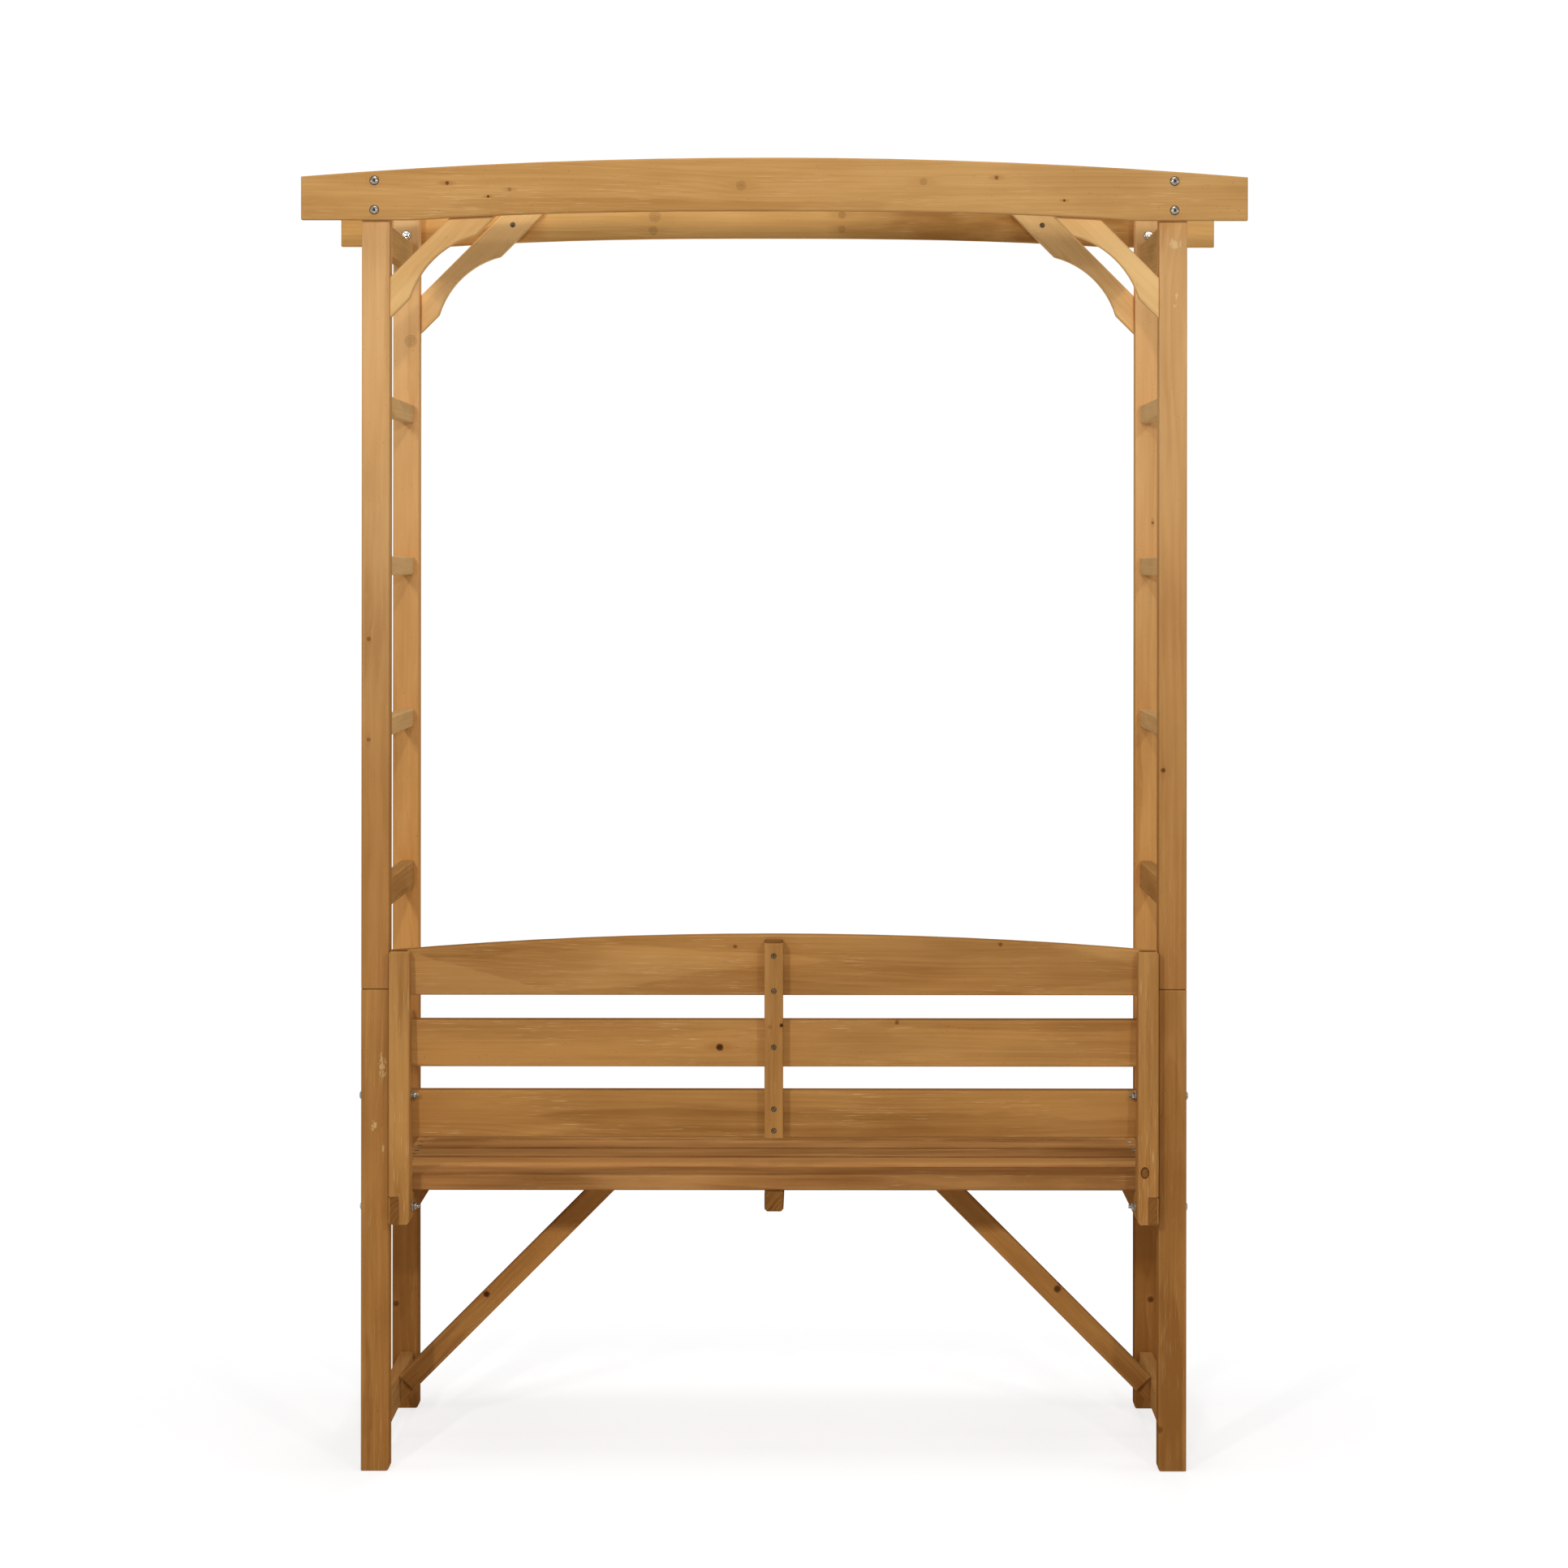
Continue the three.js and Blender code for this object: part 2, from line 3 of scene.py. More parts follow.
import bpy
from mathutils import Euler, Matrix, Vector


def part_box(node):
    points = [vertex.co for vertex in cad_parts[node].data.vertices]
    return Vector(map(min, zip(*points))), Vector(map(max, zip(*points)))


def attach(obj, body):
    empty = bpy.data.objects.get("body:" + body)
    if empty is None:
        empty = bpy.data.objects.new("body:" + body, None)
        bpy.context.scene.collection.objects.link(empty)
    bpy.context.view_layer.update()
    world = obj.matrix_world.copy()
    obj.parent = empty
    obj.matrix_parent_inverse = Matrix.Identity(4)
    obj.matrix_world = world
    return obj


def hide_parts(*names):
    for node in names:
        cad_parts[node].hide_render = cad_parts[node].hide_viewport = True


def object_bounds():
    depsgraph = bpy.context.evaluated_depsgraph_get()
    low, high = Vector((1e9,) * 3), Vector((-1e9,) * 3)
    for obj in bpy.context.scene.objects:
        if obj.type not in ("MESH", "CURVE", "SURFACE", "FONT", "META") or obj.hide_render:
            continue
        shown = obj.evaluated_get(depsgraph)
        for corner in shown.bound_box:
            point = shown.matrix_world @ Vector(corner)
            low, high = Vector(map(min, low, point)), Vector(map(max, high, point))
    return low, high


# The looks of a timber arbour seat: stained softwood boards, zinc bolts, screws and a white studio.
# Metres, +Z up. +Y runs from the back of the seat to its front, +X to the sitter's right.

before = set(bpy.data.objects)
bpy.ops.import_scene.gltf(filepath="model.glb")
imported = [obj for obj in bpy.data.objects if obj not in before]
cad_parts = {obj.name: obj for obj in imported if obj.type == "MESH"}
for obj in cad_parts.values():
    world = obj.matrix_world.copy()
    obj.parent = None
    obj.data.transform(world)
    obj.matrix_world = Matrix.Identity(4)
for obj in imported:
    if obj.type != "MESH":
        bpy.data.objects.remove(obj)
cad_low, cad_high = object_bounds()

BODY = "root"
SIDES = {"left": -1, "right": 1}
PLUG = "right_stile_plug"

# The photograph's view, from behind the seat
IMAGE_PIXELS = 1932
VANISHING_PIXEL = (1004.5, 693.8)
SENSOR = 36
LENS = 92.65
CAMERA_DISTANCE = 6.3
CAMERA_OFFSET = 0.064
CAMERA_HEIGHT = 1.4178
CAMERA_ROLL = math.radians(-0.05)

# The turn that lays a board's grain along Z
ALONG_X = Euler((0, math.radians(-90), 0))
ALONG_Y = Euler((math.radians(90), 0, 0))
ALONG_Z = Euler((0, 0, 0))
RISING_RIGHT = Euler((0, math.radians(-45), 0))
RISING_LEFT = Euler((0, math.radians(45), 0))
LEANING_BACK = Euler((math.radians(-5.1), 0, 0))
LEANING_ALONG_X = (ALONG_X.to_matrix() @ LEANING_BACK.to_matrix()).to_euler()


def srgb(red, green, blue):
    """A colour given as it shows on a screen, from 0 to 255, in the linear values that materials take."""
    shares = [value / 255 for value in (red, green, blue)]
    linear = [s / 12.92 if s <= 0.04045 else ((s + 0.055) / 1.055) ** 2.4 for s in shares]
    return (*linear, 1)


def stain(low, high, levels=(0.1, 2.0)):
    """A finish: a pale and a deep colour at each of two levels, which are in metres. Its lower colours are
    deeper: partly the timber's own tone, partly painted shade where less light reaches low down.
    """
    low, high = [[srgb(*shade) for shade in pair] for pair in (low, high)]
    return {"levels": levels, "low": low, "high": high}


STAIN = stain([(190, 136, 74), (148, 98, 48)], [(216, 169, 107), (182, 134, 76)])
SEAT_STAIN = stain([(200, 147, 88), (140, 92, 48)], [(208, 156, 98), (150, 100, 56)])
LIGHT_STAIN = stain([(200, 150, 90), (168, 118, 64)], [(246, 202, 138), (220, 172, 110)])
PALE_STAIN = stain([(224, 180, 120), (194, 150, 94)], [(236, 194, 136), (208, 164, 108)])
FRONT_BEAM_STAIN = stain([(190, 138, 76), (158, 107, 52)], [(236, 186, 116), (206, 156, 90)])
REAR_POST_STAIN = stain([(188, 136, 78), (154, 103, 54)], [(232, 186, 128), (200, 150, 94)], (0.95, 1.9))
# The front posts' upper parts are stained paler than the rear ones: painted light, making up for the lamps'
# light falling off towards the front.
FRONT_POST_STAIN_PAINTED_LIGHTER = stain([(216, 160, 94), (182, 128, 70)], [(240, 194, 136), (216, 166, 106)], (0.95, 1.9))
# The front posts' lower parts are deeper low down: painted shade, where they stand in the shade under the
# seat.
FRONT_FOOT_STAIN_PAINTED_SHADE = stain([(166, 114, 58), (136, 87, 41)], [(208, 153, 90), (175, 123, 68)], (0.2, 0.8))
POST_STAINS = {
    ("rear", "lower"): STAIN,
    ("rear", "upper"): REAR_POST_STAIN,
    ("front", "lower"): FRONT_FOOT_STAIN_PAINTED_SHADE,
    ("front", "upper"): FRONT_POST_STAIN_PAINTED_LIGHTER,
}
WARM_TINT = (1.0, 0.93, 0.84, 1)
END_GRAIN = srgb(138, 90, 44)
END_RING = srgb(96, 56, 24)
JOINT_SHADE = srgb(92, 54, 24)
KNOT_HEART = srgb(48, 22, 9)
KNOT_RING = srgb(104, 58, 26)
KNOT_HALO = srgb(170, 112, 58)
SPECK = srgb(96, 58, 28)
BARE_WOOD = srgb(240, 204, 148)
ZINC_PALE = srgb(204, 202, 194)
ZINC_DEEP = srgb(146, 142, 132)
SCREW_PALE = srgb(138, 124, 96)
SCREW_DEEP = srgb(86, 70, 48)
# Painted shade, for the recesses round and inside the steel heads
PAINTED_RECESS_SHADE = srgb(70, 40, 18)

# Marks on the timber: how strongly each covers the stain, from 0 to 1, and its colour
MARKS = {
    "specks": (0.5, SPECK),
    "end_grain": (0.75, END_GRAIN),
    "end_rings": (0.7, END_RING),
    "dark_edges": (0.7, JOINT_SHADE),
    "joint_line": (0.6, JOINT_SHADE),
    "knot_halo": (0.45, KNOT_HALO),
    "knot_ring": (0.8, KNOT_RING),
    "knot_heart": (0.9, KNOT_HEART),
}

# Growth rings: how far the pith wanders and the rings ripple, in metres, and how unlike their widths are
PITH_WANDER = 0.06
RING_RIPPLE = 0.008
RING_UNEVENNESS = 2.4

# How much rings, clouds, drifts, heartwood, streaks and fibres darken the stain
DARKENING = (0.2, 0.3, 0.28, 0.32, 0.55, 0.42)

# Knots: how many rings each has, and how far it pushes those round it, by its radius
KNOT_RING_COUNT = 2.6
KNOT_PUSH = 1.6

# Surfaces
WARMTH = 0.6
SCUFF_TEAR = 4.5
SCUFF_SHARE = 0.42
SAPWOOD_SHARE = 0.5
# The bands along the arrises: the pale band is partly painted highlight, the seat slats' dark band partly
# painted shade of the gaps
EDGE_BAND_WIDTH = 0.004
SOAK_AND_SHADE_WIDTH = 0.0022
EASED_EDGE = 0.0008
WELD_DISTANCE = 0.00005
GRAIN_DEPTH = 0.0004
RELIEF_STRENGTH = 0.45
TIMBER_ROUGHNESS = 0.7
EXTRA_ROUGHNESS = 0.1

# Bolts, as the CAD model has them
BOLT_SIZES = {
    "Head Radius": 0.0065,
    "Head Height": 0.0035,
    "Rim Width": 0.0009,
    "Rim Height": 0.0003,
    "Socket Radius": 0.0027,
    "Socket Depth": 0.0021,
    "Shank Radius": 0.003,
    "Washer Radius": 0.007,
    "Washer Thickness": 0.0015,
    "Nut Radius": 0.0057,
    "Nut Height": 0.005,
    "Tip Length": 0.005,
    "Thread Pitch": 0.001,
}
# How thick the painted shade at the floor of each bolt's socket is
SOCKET_SHADE_DEPTH = 0.0004
THREAD_DEPTH = 0.14
BOLT_NODES = [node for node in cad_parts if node.endswith("_bolt")]

# Screws
SCREW_SIZES = {
    "Head Radius": 0.0031,
    "Head Height": 0.0006,
    "Rim Width": 0.0013,
    "Slot Width": 0.0011,
}
BATTEN_SCREW_HEIGHTS = (0.807, 0.752, 0.6635, 0.566, 0.532)
SLAT_SCREW_OFFSET = 0.5865
SLAT_SCREW_SPACING = 0.04
BRACKET_SCREW_OFFSET = 0.4455
BRACKET_SCREW_HEIGHT = 1.9867

# The studio
PAPER_WHITE = (1, 1, 1, 1)
FLOOR_PAINT = srgb(220, 220, 220)
FLOOR_RADIUS = 14
FLOOR_DROP = -0.0005
FLOOR_STRETCH = (0.62, 1, 0)
FLOOR_FADE = (0.4, 1.4)
SHADOW_PAINT = (0.45, 0.45, 0.45, 1)
NO_PAINT = (0, 0, 0, 1)
SHADOW_GLOW = 0.69
BACKDROP_STRENGTH = 1.02
AMBIENT_SHARE = 0.15
GLOSS_SHARE = 0.4

# Lamps, by the share of full light that each gives at REACH metres
# Each points at a place over the origin, at the height aim.
REACH = 4.5
LAMPS = {
    "left_low_lamp": {"place": (-1.5, -4.7, 2.37), "aim": 1.1, "size": 0.12, "share": 0.145},
    "left_high_lamp": {"place": (-1.5, -4.7, 2.66), "aim": 1.1, "size": 0.12, "share": 0.145},
    "centre_lamp": {"place": (-0.07, -4.7, 2.5), "aim": 1.1, "size": 0.08, "share": 0.14},
    "right_lamp": {"place": (1.6, -4.7, 2.6), "aim": 1.1, "size": 0.16, "share": 0.18},
    "front_fill": {"place": (0.6, 4.6, 1.3), "aim": 1.0, "size": 2.0, "share": 0.5},
    "top_fill": {"place": (0, -0.6, 5.4), "aim": 0.4, "size": 2.6, "share": 0.4},
    "left_fill": {"place": (-5, -0.8, 1.6), "aim": 1.0, "size": 1.6, "share": 0.16},
    "right_fill": {"place": (5, -0.8, 1.6), "aim": 1.0, "size": 1.6, "share": 0.16},
}


class Wiring:
    """Adds nodes to one node tree. Any input takes another node's output socket or a plain value."""

    def __init__(self, tree):
        self.tree = tree

    def add(self, kind, inputs=None, **settings):
        node = self.tree.nodes.new(kind)
        for name, value in settings.items():
            setattr(node, name, value)
        for key, value in (inputs or {}).items():
            self.feed(node.inputs[key], value)
        return node

    def feed(self, socket, value):
        if isinstance(value, bpy.types.NodeSocket):
            self.tree.links.new(value, socket)
        else:
            socket.default_value = value

    def maths(self, operation, *values, clamp=False):
        node = self.add("ShaderNodeMath", dict(enumerate(values)), operation=operation, use_clamp=clamp)
        return node.outputs[0]

    def times(self, first, second):
        return self.maths("MULTIPLY", first, second)

    def times_plus(self, first, second, added):
        return self.maths("MULTIPLY_ADD", first, second, added)

    def vector(self, operation, *values):
        node = self.add("ShaderNodeVectorMath", dict(enumerate(values)), operation=operation)
        name = "Value" if operation in ("LENGTH", "DOT_PRODUCT") else "Vector"
        return node.outputs[name]

    def scaled(self, vector, factor):
        node = self.add("ShaderNodeVectorMath", {0: vector, "Scale": factor}, operation="SCALE")
        return node.outputs["Vector"]

    def joined(self, **parts):
        return self.add("ShaderNodeCombineXYZ", parts).outputs[0]

    def parts(self, vector):
        return self.add("ShaderNodeSeparateXYZ", {0: vector}).outputs

    def step(self, value, start, end, low=0.0, high=1.0):
        """Goes smoothly from low to high as the value goes from start to end."""
        inputs = {"Value": value, "From Min": start, "From Max": end, "To Min": low, "To Max": high}
        return self.add("ShaderNodeMapRange", inputs, interpolation_type="SMOOTHSTEP").outputs[0]

    def fall(self, value, start, end):
        """Goes smoothly from 1 to 0 as the value goes from start to end."""
        return self.step(value, start, end, 1.0, 0.0)

    def band(self, value, start, full, fade, end):
        """Is 1 where the value is between full and fade, and falls to 0 at start and end."""
        return self.times(self.step(value, start, full), self.fall(value, fade, end))

    def noise(self, place, across, along, detail=2.0, roughness=0.5):
        """Noise round 0.5 whose patches are so many metres across and along the grain."""
        stretched = self.vector("MULTIPLY", place, (1 / across, 1 / across, 1 / along))
        inputs = {"Vector": stretched, "Scale": 1.0, "Detail": detail, "Roughness": roughness}
        return self.add("ShaderNodeTexNoise", inputs).outputs["Fac"]

    def swing(self, place, across, along, detail=2.0, roughness=0.5):
        """Noise round 0."""
        return self.maths("SUBTRACT", self.noise(place, across, along, detail, roughness), 0.5)

    def patches(self, place, across, along, detail=2.0):
        """Soft noise that goes all the way from 0 to 1."""
        return self.step(self.noise(place, across, along, detail), 0.36, 0.64)

    def mix(self, factor, first, second, blend="MIX"):
        inputs = {0: factor, 6: first, 7: second}
        return self.add("ShaderNodeMix", inputs, data_type="RGBA", blend_type=blend).outputs[2]

    def tinted(self, colour, mask, share, tint, blend="MIX"):
        """The colour under a tint, as strong as the mask times the share."""
        return self.mix(self.times(mask, share), colour, tint, blend)

    def group(self, tree, inputs):
        node = self.add("ShaderNodeGroup", node_tree=tree)
        for name, value in inputs.items():
            self.feed(node.inputs[name], value)
        return node.outputs


def emptied(owner):
    """The wiring of a material's or a world's node tree, with nothing in it."""
    owner.use_nodes = True
    owner.node_tree.nodes.clear()
    return Wiring(owner.node_tree)


def shader_group(name, inputs, outputs):
    """An empty shader node group, its wiring, the sockets of its inputs and those that its outputs feed."""
    tree = bpy.data.node_groups.new(name, "ShaderNodeTree")
    for label, default in inputs.items():
        kind = "NodeSocketFloat" if isinstance(default, float) else "NodeSocketVector"
        socket = tree.interface.new_socket(label, in_out="INPUT", socket_type=kind)
        socket.default_value = default
    for label in outputs:
        tree.interface.new_socket(label, in_out="OUTPUT", socket_type="NodeSocketFloat")
    wiring = Wiring(tree)
    given = wiring.add("NodeGroupInput").outputs
    result = wiring.add("NodeGroupOutput").inputs
    return tree, wiring, given, result


def growth_rings(wiring, given, place):
    """Late wood, from 0 to 1, in rings round a leaning and wandering pith."""
    height = wiring.parts(given["Position"])["Z"]
    slow = wiring.vector("MULTIPLY", place, (4.0, 4.0, 1.4))
    wander = wiring.add("ShaderNodeTexNoise", {"Vector": slow, "Scale": 1.0, "Detail": 1.0})
    offset = wiring.scaled(wiring.vector("SUBTRACT", wander.outputs["Color"], (0.5, 0.5, 0.5)), PITH_WANDER)
    pith = wiring.vector("ADD", given["Pith"], wiring.scaled(given["Lean"], height))
    to_pith = wiring.vector("SUBTRACT", wiring.vector("SUBTRACT", given["Position"], pith), offset)
    radial = wiring.vector("LENGTH", wiring.vector("MULTIPLY", to_pith, (1, 1, 0)))
    ripple = wiring.swing(place, across=0.03, along=0.25, detail=3.0)
    distance = wiring.times_plus(ripple, RING_RIPPLE, radial)
    count = wiring.maths("DIVIDE", wiring.maths("ADD", distance, given["Push"]), given["Ring Width"])
    spacing = {"W": count, "Scale": 0.6, "Detail": 1.0}
    uneven = wiring.add("ShaderNodeTexNoise", spacing, noise_dimensions="1D")
    ring = wiring.maths("FRACT", wiring.times_plus(uneven.outputs["Fac"], RING_UNEVENNESS, count))
    return wiring.band(ring, 0.1, 0.78, 0.84, 1.0)


def heartwood_zones(wiring, given, place):
    """Darker heartwood, from 0 to 1, with a wavy border."""
    wave = wiring.swing(place, across=0.02, along=0.12, detail=3.0)
    zone = wiring.noise(place, across=0.075, along=0.9, detail=1.0)
    zone = wiring.times_plus(wave, 0.14, zone)
    limit = wiring.times_plus(given["Heartwood"], -0.3, 0.68)
    return wiring.step(wiring.maths("SUBTRACT", zone, limit), 0.0, 0.03)


def scratches(wiring, place):
    """Fine lines along the grain, in some places only."""
    rare = wiring.step(wiring.noise(place, across=0.05, along=0.12, detail=1.0), 0.44, 0.6)
    lines = wiring.step(wiring.noise(place, across=0.0013, along=0.045), 0.6, 0.7)
    return wiring.times(rare, lines)


def timber_grain_group():
    """Growth rings, fibres, uneven stain and fine marks of one board.

    Position is in metres, with the grain along Z and the origin in the middle of the board.
    """
    inputs = {
        "Position": (0, 0, 0),
        "Pith": (0.05, 0.06, 0),
        "Lean": (0, 0, 0),
        "Ring Width": 0.007,
        "Heartwood": 0.3,
        "Push": 0.0,
        "Seed": 0.0,
    }
    outputs = ("Darkness", "Rings", "Warmth", "Scratches", "Specks", "Relief")
    tree, wiring, given, result = shader_group("timber_grain", inputs, outputs)
    seed = given["Seed"]
    place = wiring.vector("ADD", given["Position"], wiring.joined(X=seed, Y=seed, Z=seed))

    rings = growth_rings(wiring, given, place)
    patchy = wiring.step(wiring.noise(place, across=0.1, along=0.5), 0.36, 0.62, 0.25, 1.0)
    rings = wiring.times(rings, patchy)
    clouds = wiring.patches(place, across=0.045, along=0.24, detail=3.0)
    drifts = wiring.patches(place, across=0.16, along=0.4)
    streaks = wiring.swing(place, across=0.007, along=0.3)
    fibres = wiring.swing(place, across=0.0022, along=0.13, detail=3.0, roughness=0.6)
    heartwood = heartwood_zones(wiring, given, place)

    darkness = 0.0
    masks = (rings, clouds, drifts, heartwood, streaks, fibres)
    for mask, weight in zip(masks, DARKENING):
        darkness = wiring.times_plus(mask, weight, darkness)
    wiring.feed(result["Darkness"], darkness)
    wiring.feed(result["Rings"], rings)
    wiring.feed(result["Warmth"], wiring.patches(place, across=0.11, along=0.45))
    wiring.feed(result["Scratches"], scratches(wiring, place))
    dots = wiring.noise(place, across=0.0022, along=0.0045, detail=1.0)
    wiring.feed(result["Specks"], wiring.step(dots, 0.755, 0.79))
    wiring.feed(result["Relief"], wiring.times_plus(rings, -0.4, fibres))
    return tree


def knot_group():
    """A knot: a branch of a given radius that crosses the board, and how far it pushes the rings aside."""
    inputs = {
        "Position": (0, 0, 0),
        "Centre": (0, 0, 0),
        "Branch": (0, 1, 0),
        "Radius": 0.005,
        "Darkness": 1.0,
    }
    tree, wiring, given, result = shader_group("knot", inputs, ("Heart", "Ring", "Halo", "Push"))
    offset = wiring.vector("SUBTRACT", given["Position"], given["Centre"])
    along = wiring.vector("DOT_PRODUCT", offset, given["Branch"])
    across = wiring.vector("SUBTRACT", offset, wiring.scaled(given["Branch"], along))
    rough = wiring.swing(given["Position"], across=0.0022, along=0.0022)
    distance = wiring.maths("DIVIDE", wiring.vector("LENGTH", across), given["Radius"])
    edge = wiring.times_plus(rough, 0.5, distance)
    heart = wiring.fall(edge, 0.7, 1.0)
    ring = wiring.maths("FRACT", wiring.times(edge, KNOT_RING_COUNT))
    grown = wiring.band(ring, 0.2, 0.6, 0.8, 1.0)
    sound = wiring.times(wiring.times_plus(grown, 0.2, 0.12), heart)
    filled = wiring.times(heart, given["Darkness"])
    wiring.feed(result["Heart"], wiring.maths("MAXIMUM", filled, sound))
    strength = wiring.times_plus(given["Darkness"], 0.7, 0.3)
    wiring.feed(result["Ring"], wiring.times(wiring.band(edge, 0.8, 0.95, 1.0, 1.2), strength))
    tail = wiring.vector("LENGTH", wiring.vector("MULTIPLY", across, (1, 1, 0.3)))
    tail = wiring.times_plus(rough, 0.5, wiring.maths("DIVIDE", tail, given["Radius"]))
    halo = wiring.times(wiring.fall(tail, 0.7, 1.9), strength)
    wiring.feed(result["Halo"], halo)
    stretched = wiring.vector("LENGTH", wiring.vector("MULTIPLY", across, (1, 1, 0.35)))
    spread = wiring.maths("POWER", wiring.maths("DIVIDE", stretched, given["Radius"]), 2.0)
    push = wiring.times(given["Radius"], KNOT_PUSH)
    wiring.feed(result["Push"], wiring.maths("DIVIDE", push, wiring.maths("ADD", spread, 1.0)))
    return tree


def scuff_group():
    """A patch of given half width and half length where the finish has come off, with a torn border."""
    inputs = {"Position": (0, 0, 0), "Centre": (0, 0, 0), "Half Size": (0.004, 0.004, 0.008)}
    tree, wiring, given, result = shader_group("scuff", inputs, ("Mask",))
    offset = wiring.vector("SUBTRACT", given["Position"], given["Centre"])
    distance = wiring.vector("LENGTH", wiring.vector("DIVIDE", offset, given["Half Size"]))
    torn = wiring.swing(given["Position"], across=0.003, along=0.006, detail=3.0, roughness=0.6)
    edge = wiring.times_plus(torn, SCUFF_TEAR, distance)
    wiring.feed(result["Mask"], wiring.fall(edge, 0.4, 1.1))
    return tree


def arris_band_group():
    """How near a point on a board is to one of its arrises, from 0 to 1, and how near to its ends."""
    inputs = {"Position": (0, 0, 0), "Half Size": (0.02, 0.02, 0.5), "Width": 0.004}
    tree, wiring, given, result = shader_group("arris_bands", inputs, ("Mask", "Ends"))
    inset = wiring.vector("SUBTRACT", given["Half Size"], wiring.vector("ABSOLUTE", given["Position"]))
    parts = wiring.parts(inset)
    least = wiring.maths("MINIMUM", wiring.maths("MINIMUM", parts["X"], parts["Y"]), parts["Z"])
    most = wiring.maths("MAXIMUM", wiring.maths("MAXIMUM", parts["X"], parts["Y"]), parts["Z"])
    total = wiring.maths("ADD", wiring.maths("ADD", parts["X"], parts["Y"]), parts["Z"])
    middle = wiring.maths("SUBTRACT", wiring.maths("SUBTRACT", total, least), most)
    ragged = wiring.noise(given["Position"], across=0.012, along=0.06, detail=3.0)
    reach = wiring.times(given["Width"], wiring.times_plus(ragged, 1.6, 0.2))
    wiring.feed(result["Mask"], wiring.fall(wiring.maths("DIVIDE", middle, reach), 0.0, 1.0))
    wiring.feed(result["Ends"], wiring.fall(parts["Z"], 0.0004, 0.0011))
    return tree


GRAIN = timber_grain_group()
KNOT = knot_group()
SCUFF = scuff_group()
ARRIS_BANDS = arris_band_group()


def new_material(name):
    """A material with an empty tree, its wiring and its Principled shader."""
    material = bpy.data.materials.new(name)
    wiring = emptied(material)
    shader = wiring.add("ShaderNodeBsdfPrincipled")
    wiring.add("ShaderNodeOutputMaterial", {"Surface": shader.outputs[0]})
    return material, wiring, shader


def on_face(node, start, direction):
    """Where a ray meets a CAD node, and the way that its face looks there."""
    hit, place, normal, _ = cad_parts[node].ray_cast(Vector(start), Vector(direction))
    if not hit:
        raise ValueError(f"no face of {node} lies ahead of {start}")
    return place, normal


class Board:
    """One timber in a frame of its own: the grain runs along Z and the origin is in its middle."""

    def __init__(self, node, turn):
        self.node = node
        self.turn = turn
        self.matrix = turn.to_matrix()
        corners = [self.matrix @ vertex.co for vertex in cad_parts[node].data.vertices]
        low = Vector([min(corner[axis] for corner in corners) for axis in range(3)])
        high = Vector([max(corner[axis] for corner in corners) for axis in range(3)])
        self.middle = (low + high) / 2
        self.half = (high - low) / 2

    def on_rear_face(self, x, z):
        """A place on the face that the photograph shows, in the board's own frame."""
        place, _ = on_face(self.node, (x, cad_low.y - 1, z), (0, 1, 0))
        return self.matrix @ place - self.middle

    def direction(self, vector):
        return (self.matrix @ Vector(vector)).normalized()

    def grain_axis(self):
        return self.matrix.transposed() @ Vector((0, 0, 1))


def knot_masks(wiring, board, position, knots):
    """The masks of all of a board's knots together. Each knot is (x, z, radius, darkness)."""
    masks = {"Heart": 0.0, "Ring": 0.0, "Halo": 0.0, "Push": 0.0}
    for x, z, radius, darkness in knots:
        outputs = wiring.group(KNOT, {
            "Position": position,
            "Centre": board.on_rear_face(x, z),
            "Branch": board.direction((0.12, 1, 0.1)),
            "Radius": radius,
            "Darkness": darkness,
        })
        for name in masks:
            operation = "ADD" if name == "Push" else "MAXIMUM"
            masks[name] = wiring.maths(operation, masks[name], outputs[name])
    return masks


def with_marks(wiring, colour, **masks):
    """The colour under each named mark, in turn."""
    for name, mask in masks.items():
        share, tint = MARKS[name]
        colour = wiring.tinted(colour, mask, share, tint)
    return colour


def stain_and_falloff_by_height(wiring, finish, height):
    """The pale and the deep colour of a finish at each height, deeper low down, partly as painted shade."""
    raised = wiring.step(height, *finish["levels"])
    return [wiring.mix(raised, low, high) for low, high in zip(finish["low"], finish["high"])]


def patchy_darker_stretch(wiring, position, x, darker_stretch):
    """A mask of a stretch of the board along X, in patches."""
    *reach, share = darker_stretch
    uneven = wiring.noise(position, across=0.028, along=0.12, detail=3.0)
    patches = wiring.step(uneven, 0.34, 0.64, 0.5 * share, share)
    return wiring.times(wiring.band(x, *reach), patches)


def below_line(wiring, position, place, line):
    """A mask of what lies below a slanting and wavering line."""
    x, z, slope = line
    wandering = wiring.noise(position, across=0.01, along=0.03, detail=3.0)
    waver = wiring.times_plus(wandering, 0.012, -0.006)
    height = wiring.times_plus(wiring.maths("SUBTRACT", place["X"], x), slope, z)
    below = wiring.maths("SUBTRACT", wiring.maths("ADD", height, waver), place["Z"])
    return wiring.step(below, 0.0, 0.003)


def scuff_masks(wiring, board, position, scuffs):
    """The mask of each scuff. Each is given as (x, z, half width, half height)."""
    masks = []
    for x, z, half_width, half_height in scuffs:
        half_size = (half_width, half_width, half_height)
        inputs = {"Position": position, "Centre": board.on_rear_face(x, z), "Half Size": half_size}
        masks.append(wiring.group(SCUFF, inputs)["Mask"])
    return masks


def board_grain(wiring, position, seed, pith, ring_width, heartwood, push):
    """The grain of one board, with rings that the knots push aside. The log's centre leans by the seed."""
    lean = (0.02 * math.sin(seed * 2.1), 0.02 * math.cos(seed * 1.3), 0)
    return wiring.group(GRAIN, {
        "Position": position,
        "Pith": (*pith, 0),
        "Lean": lean,
        "Ring Width": ring_width,
        "Heartwood": heartwood,
        "Push": push,
        "Seed": seed,
    })


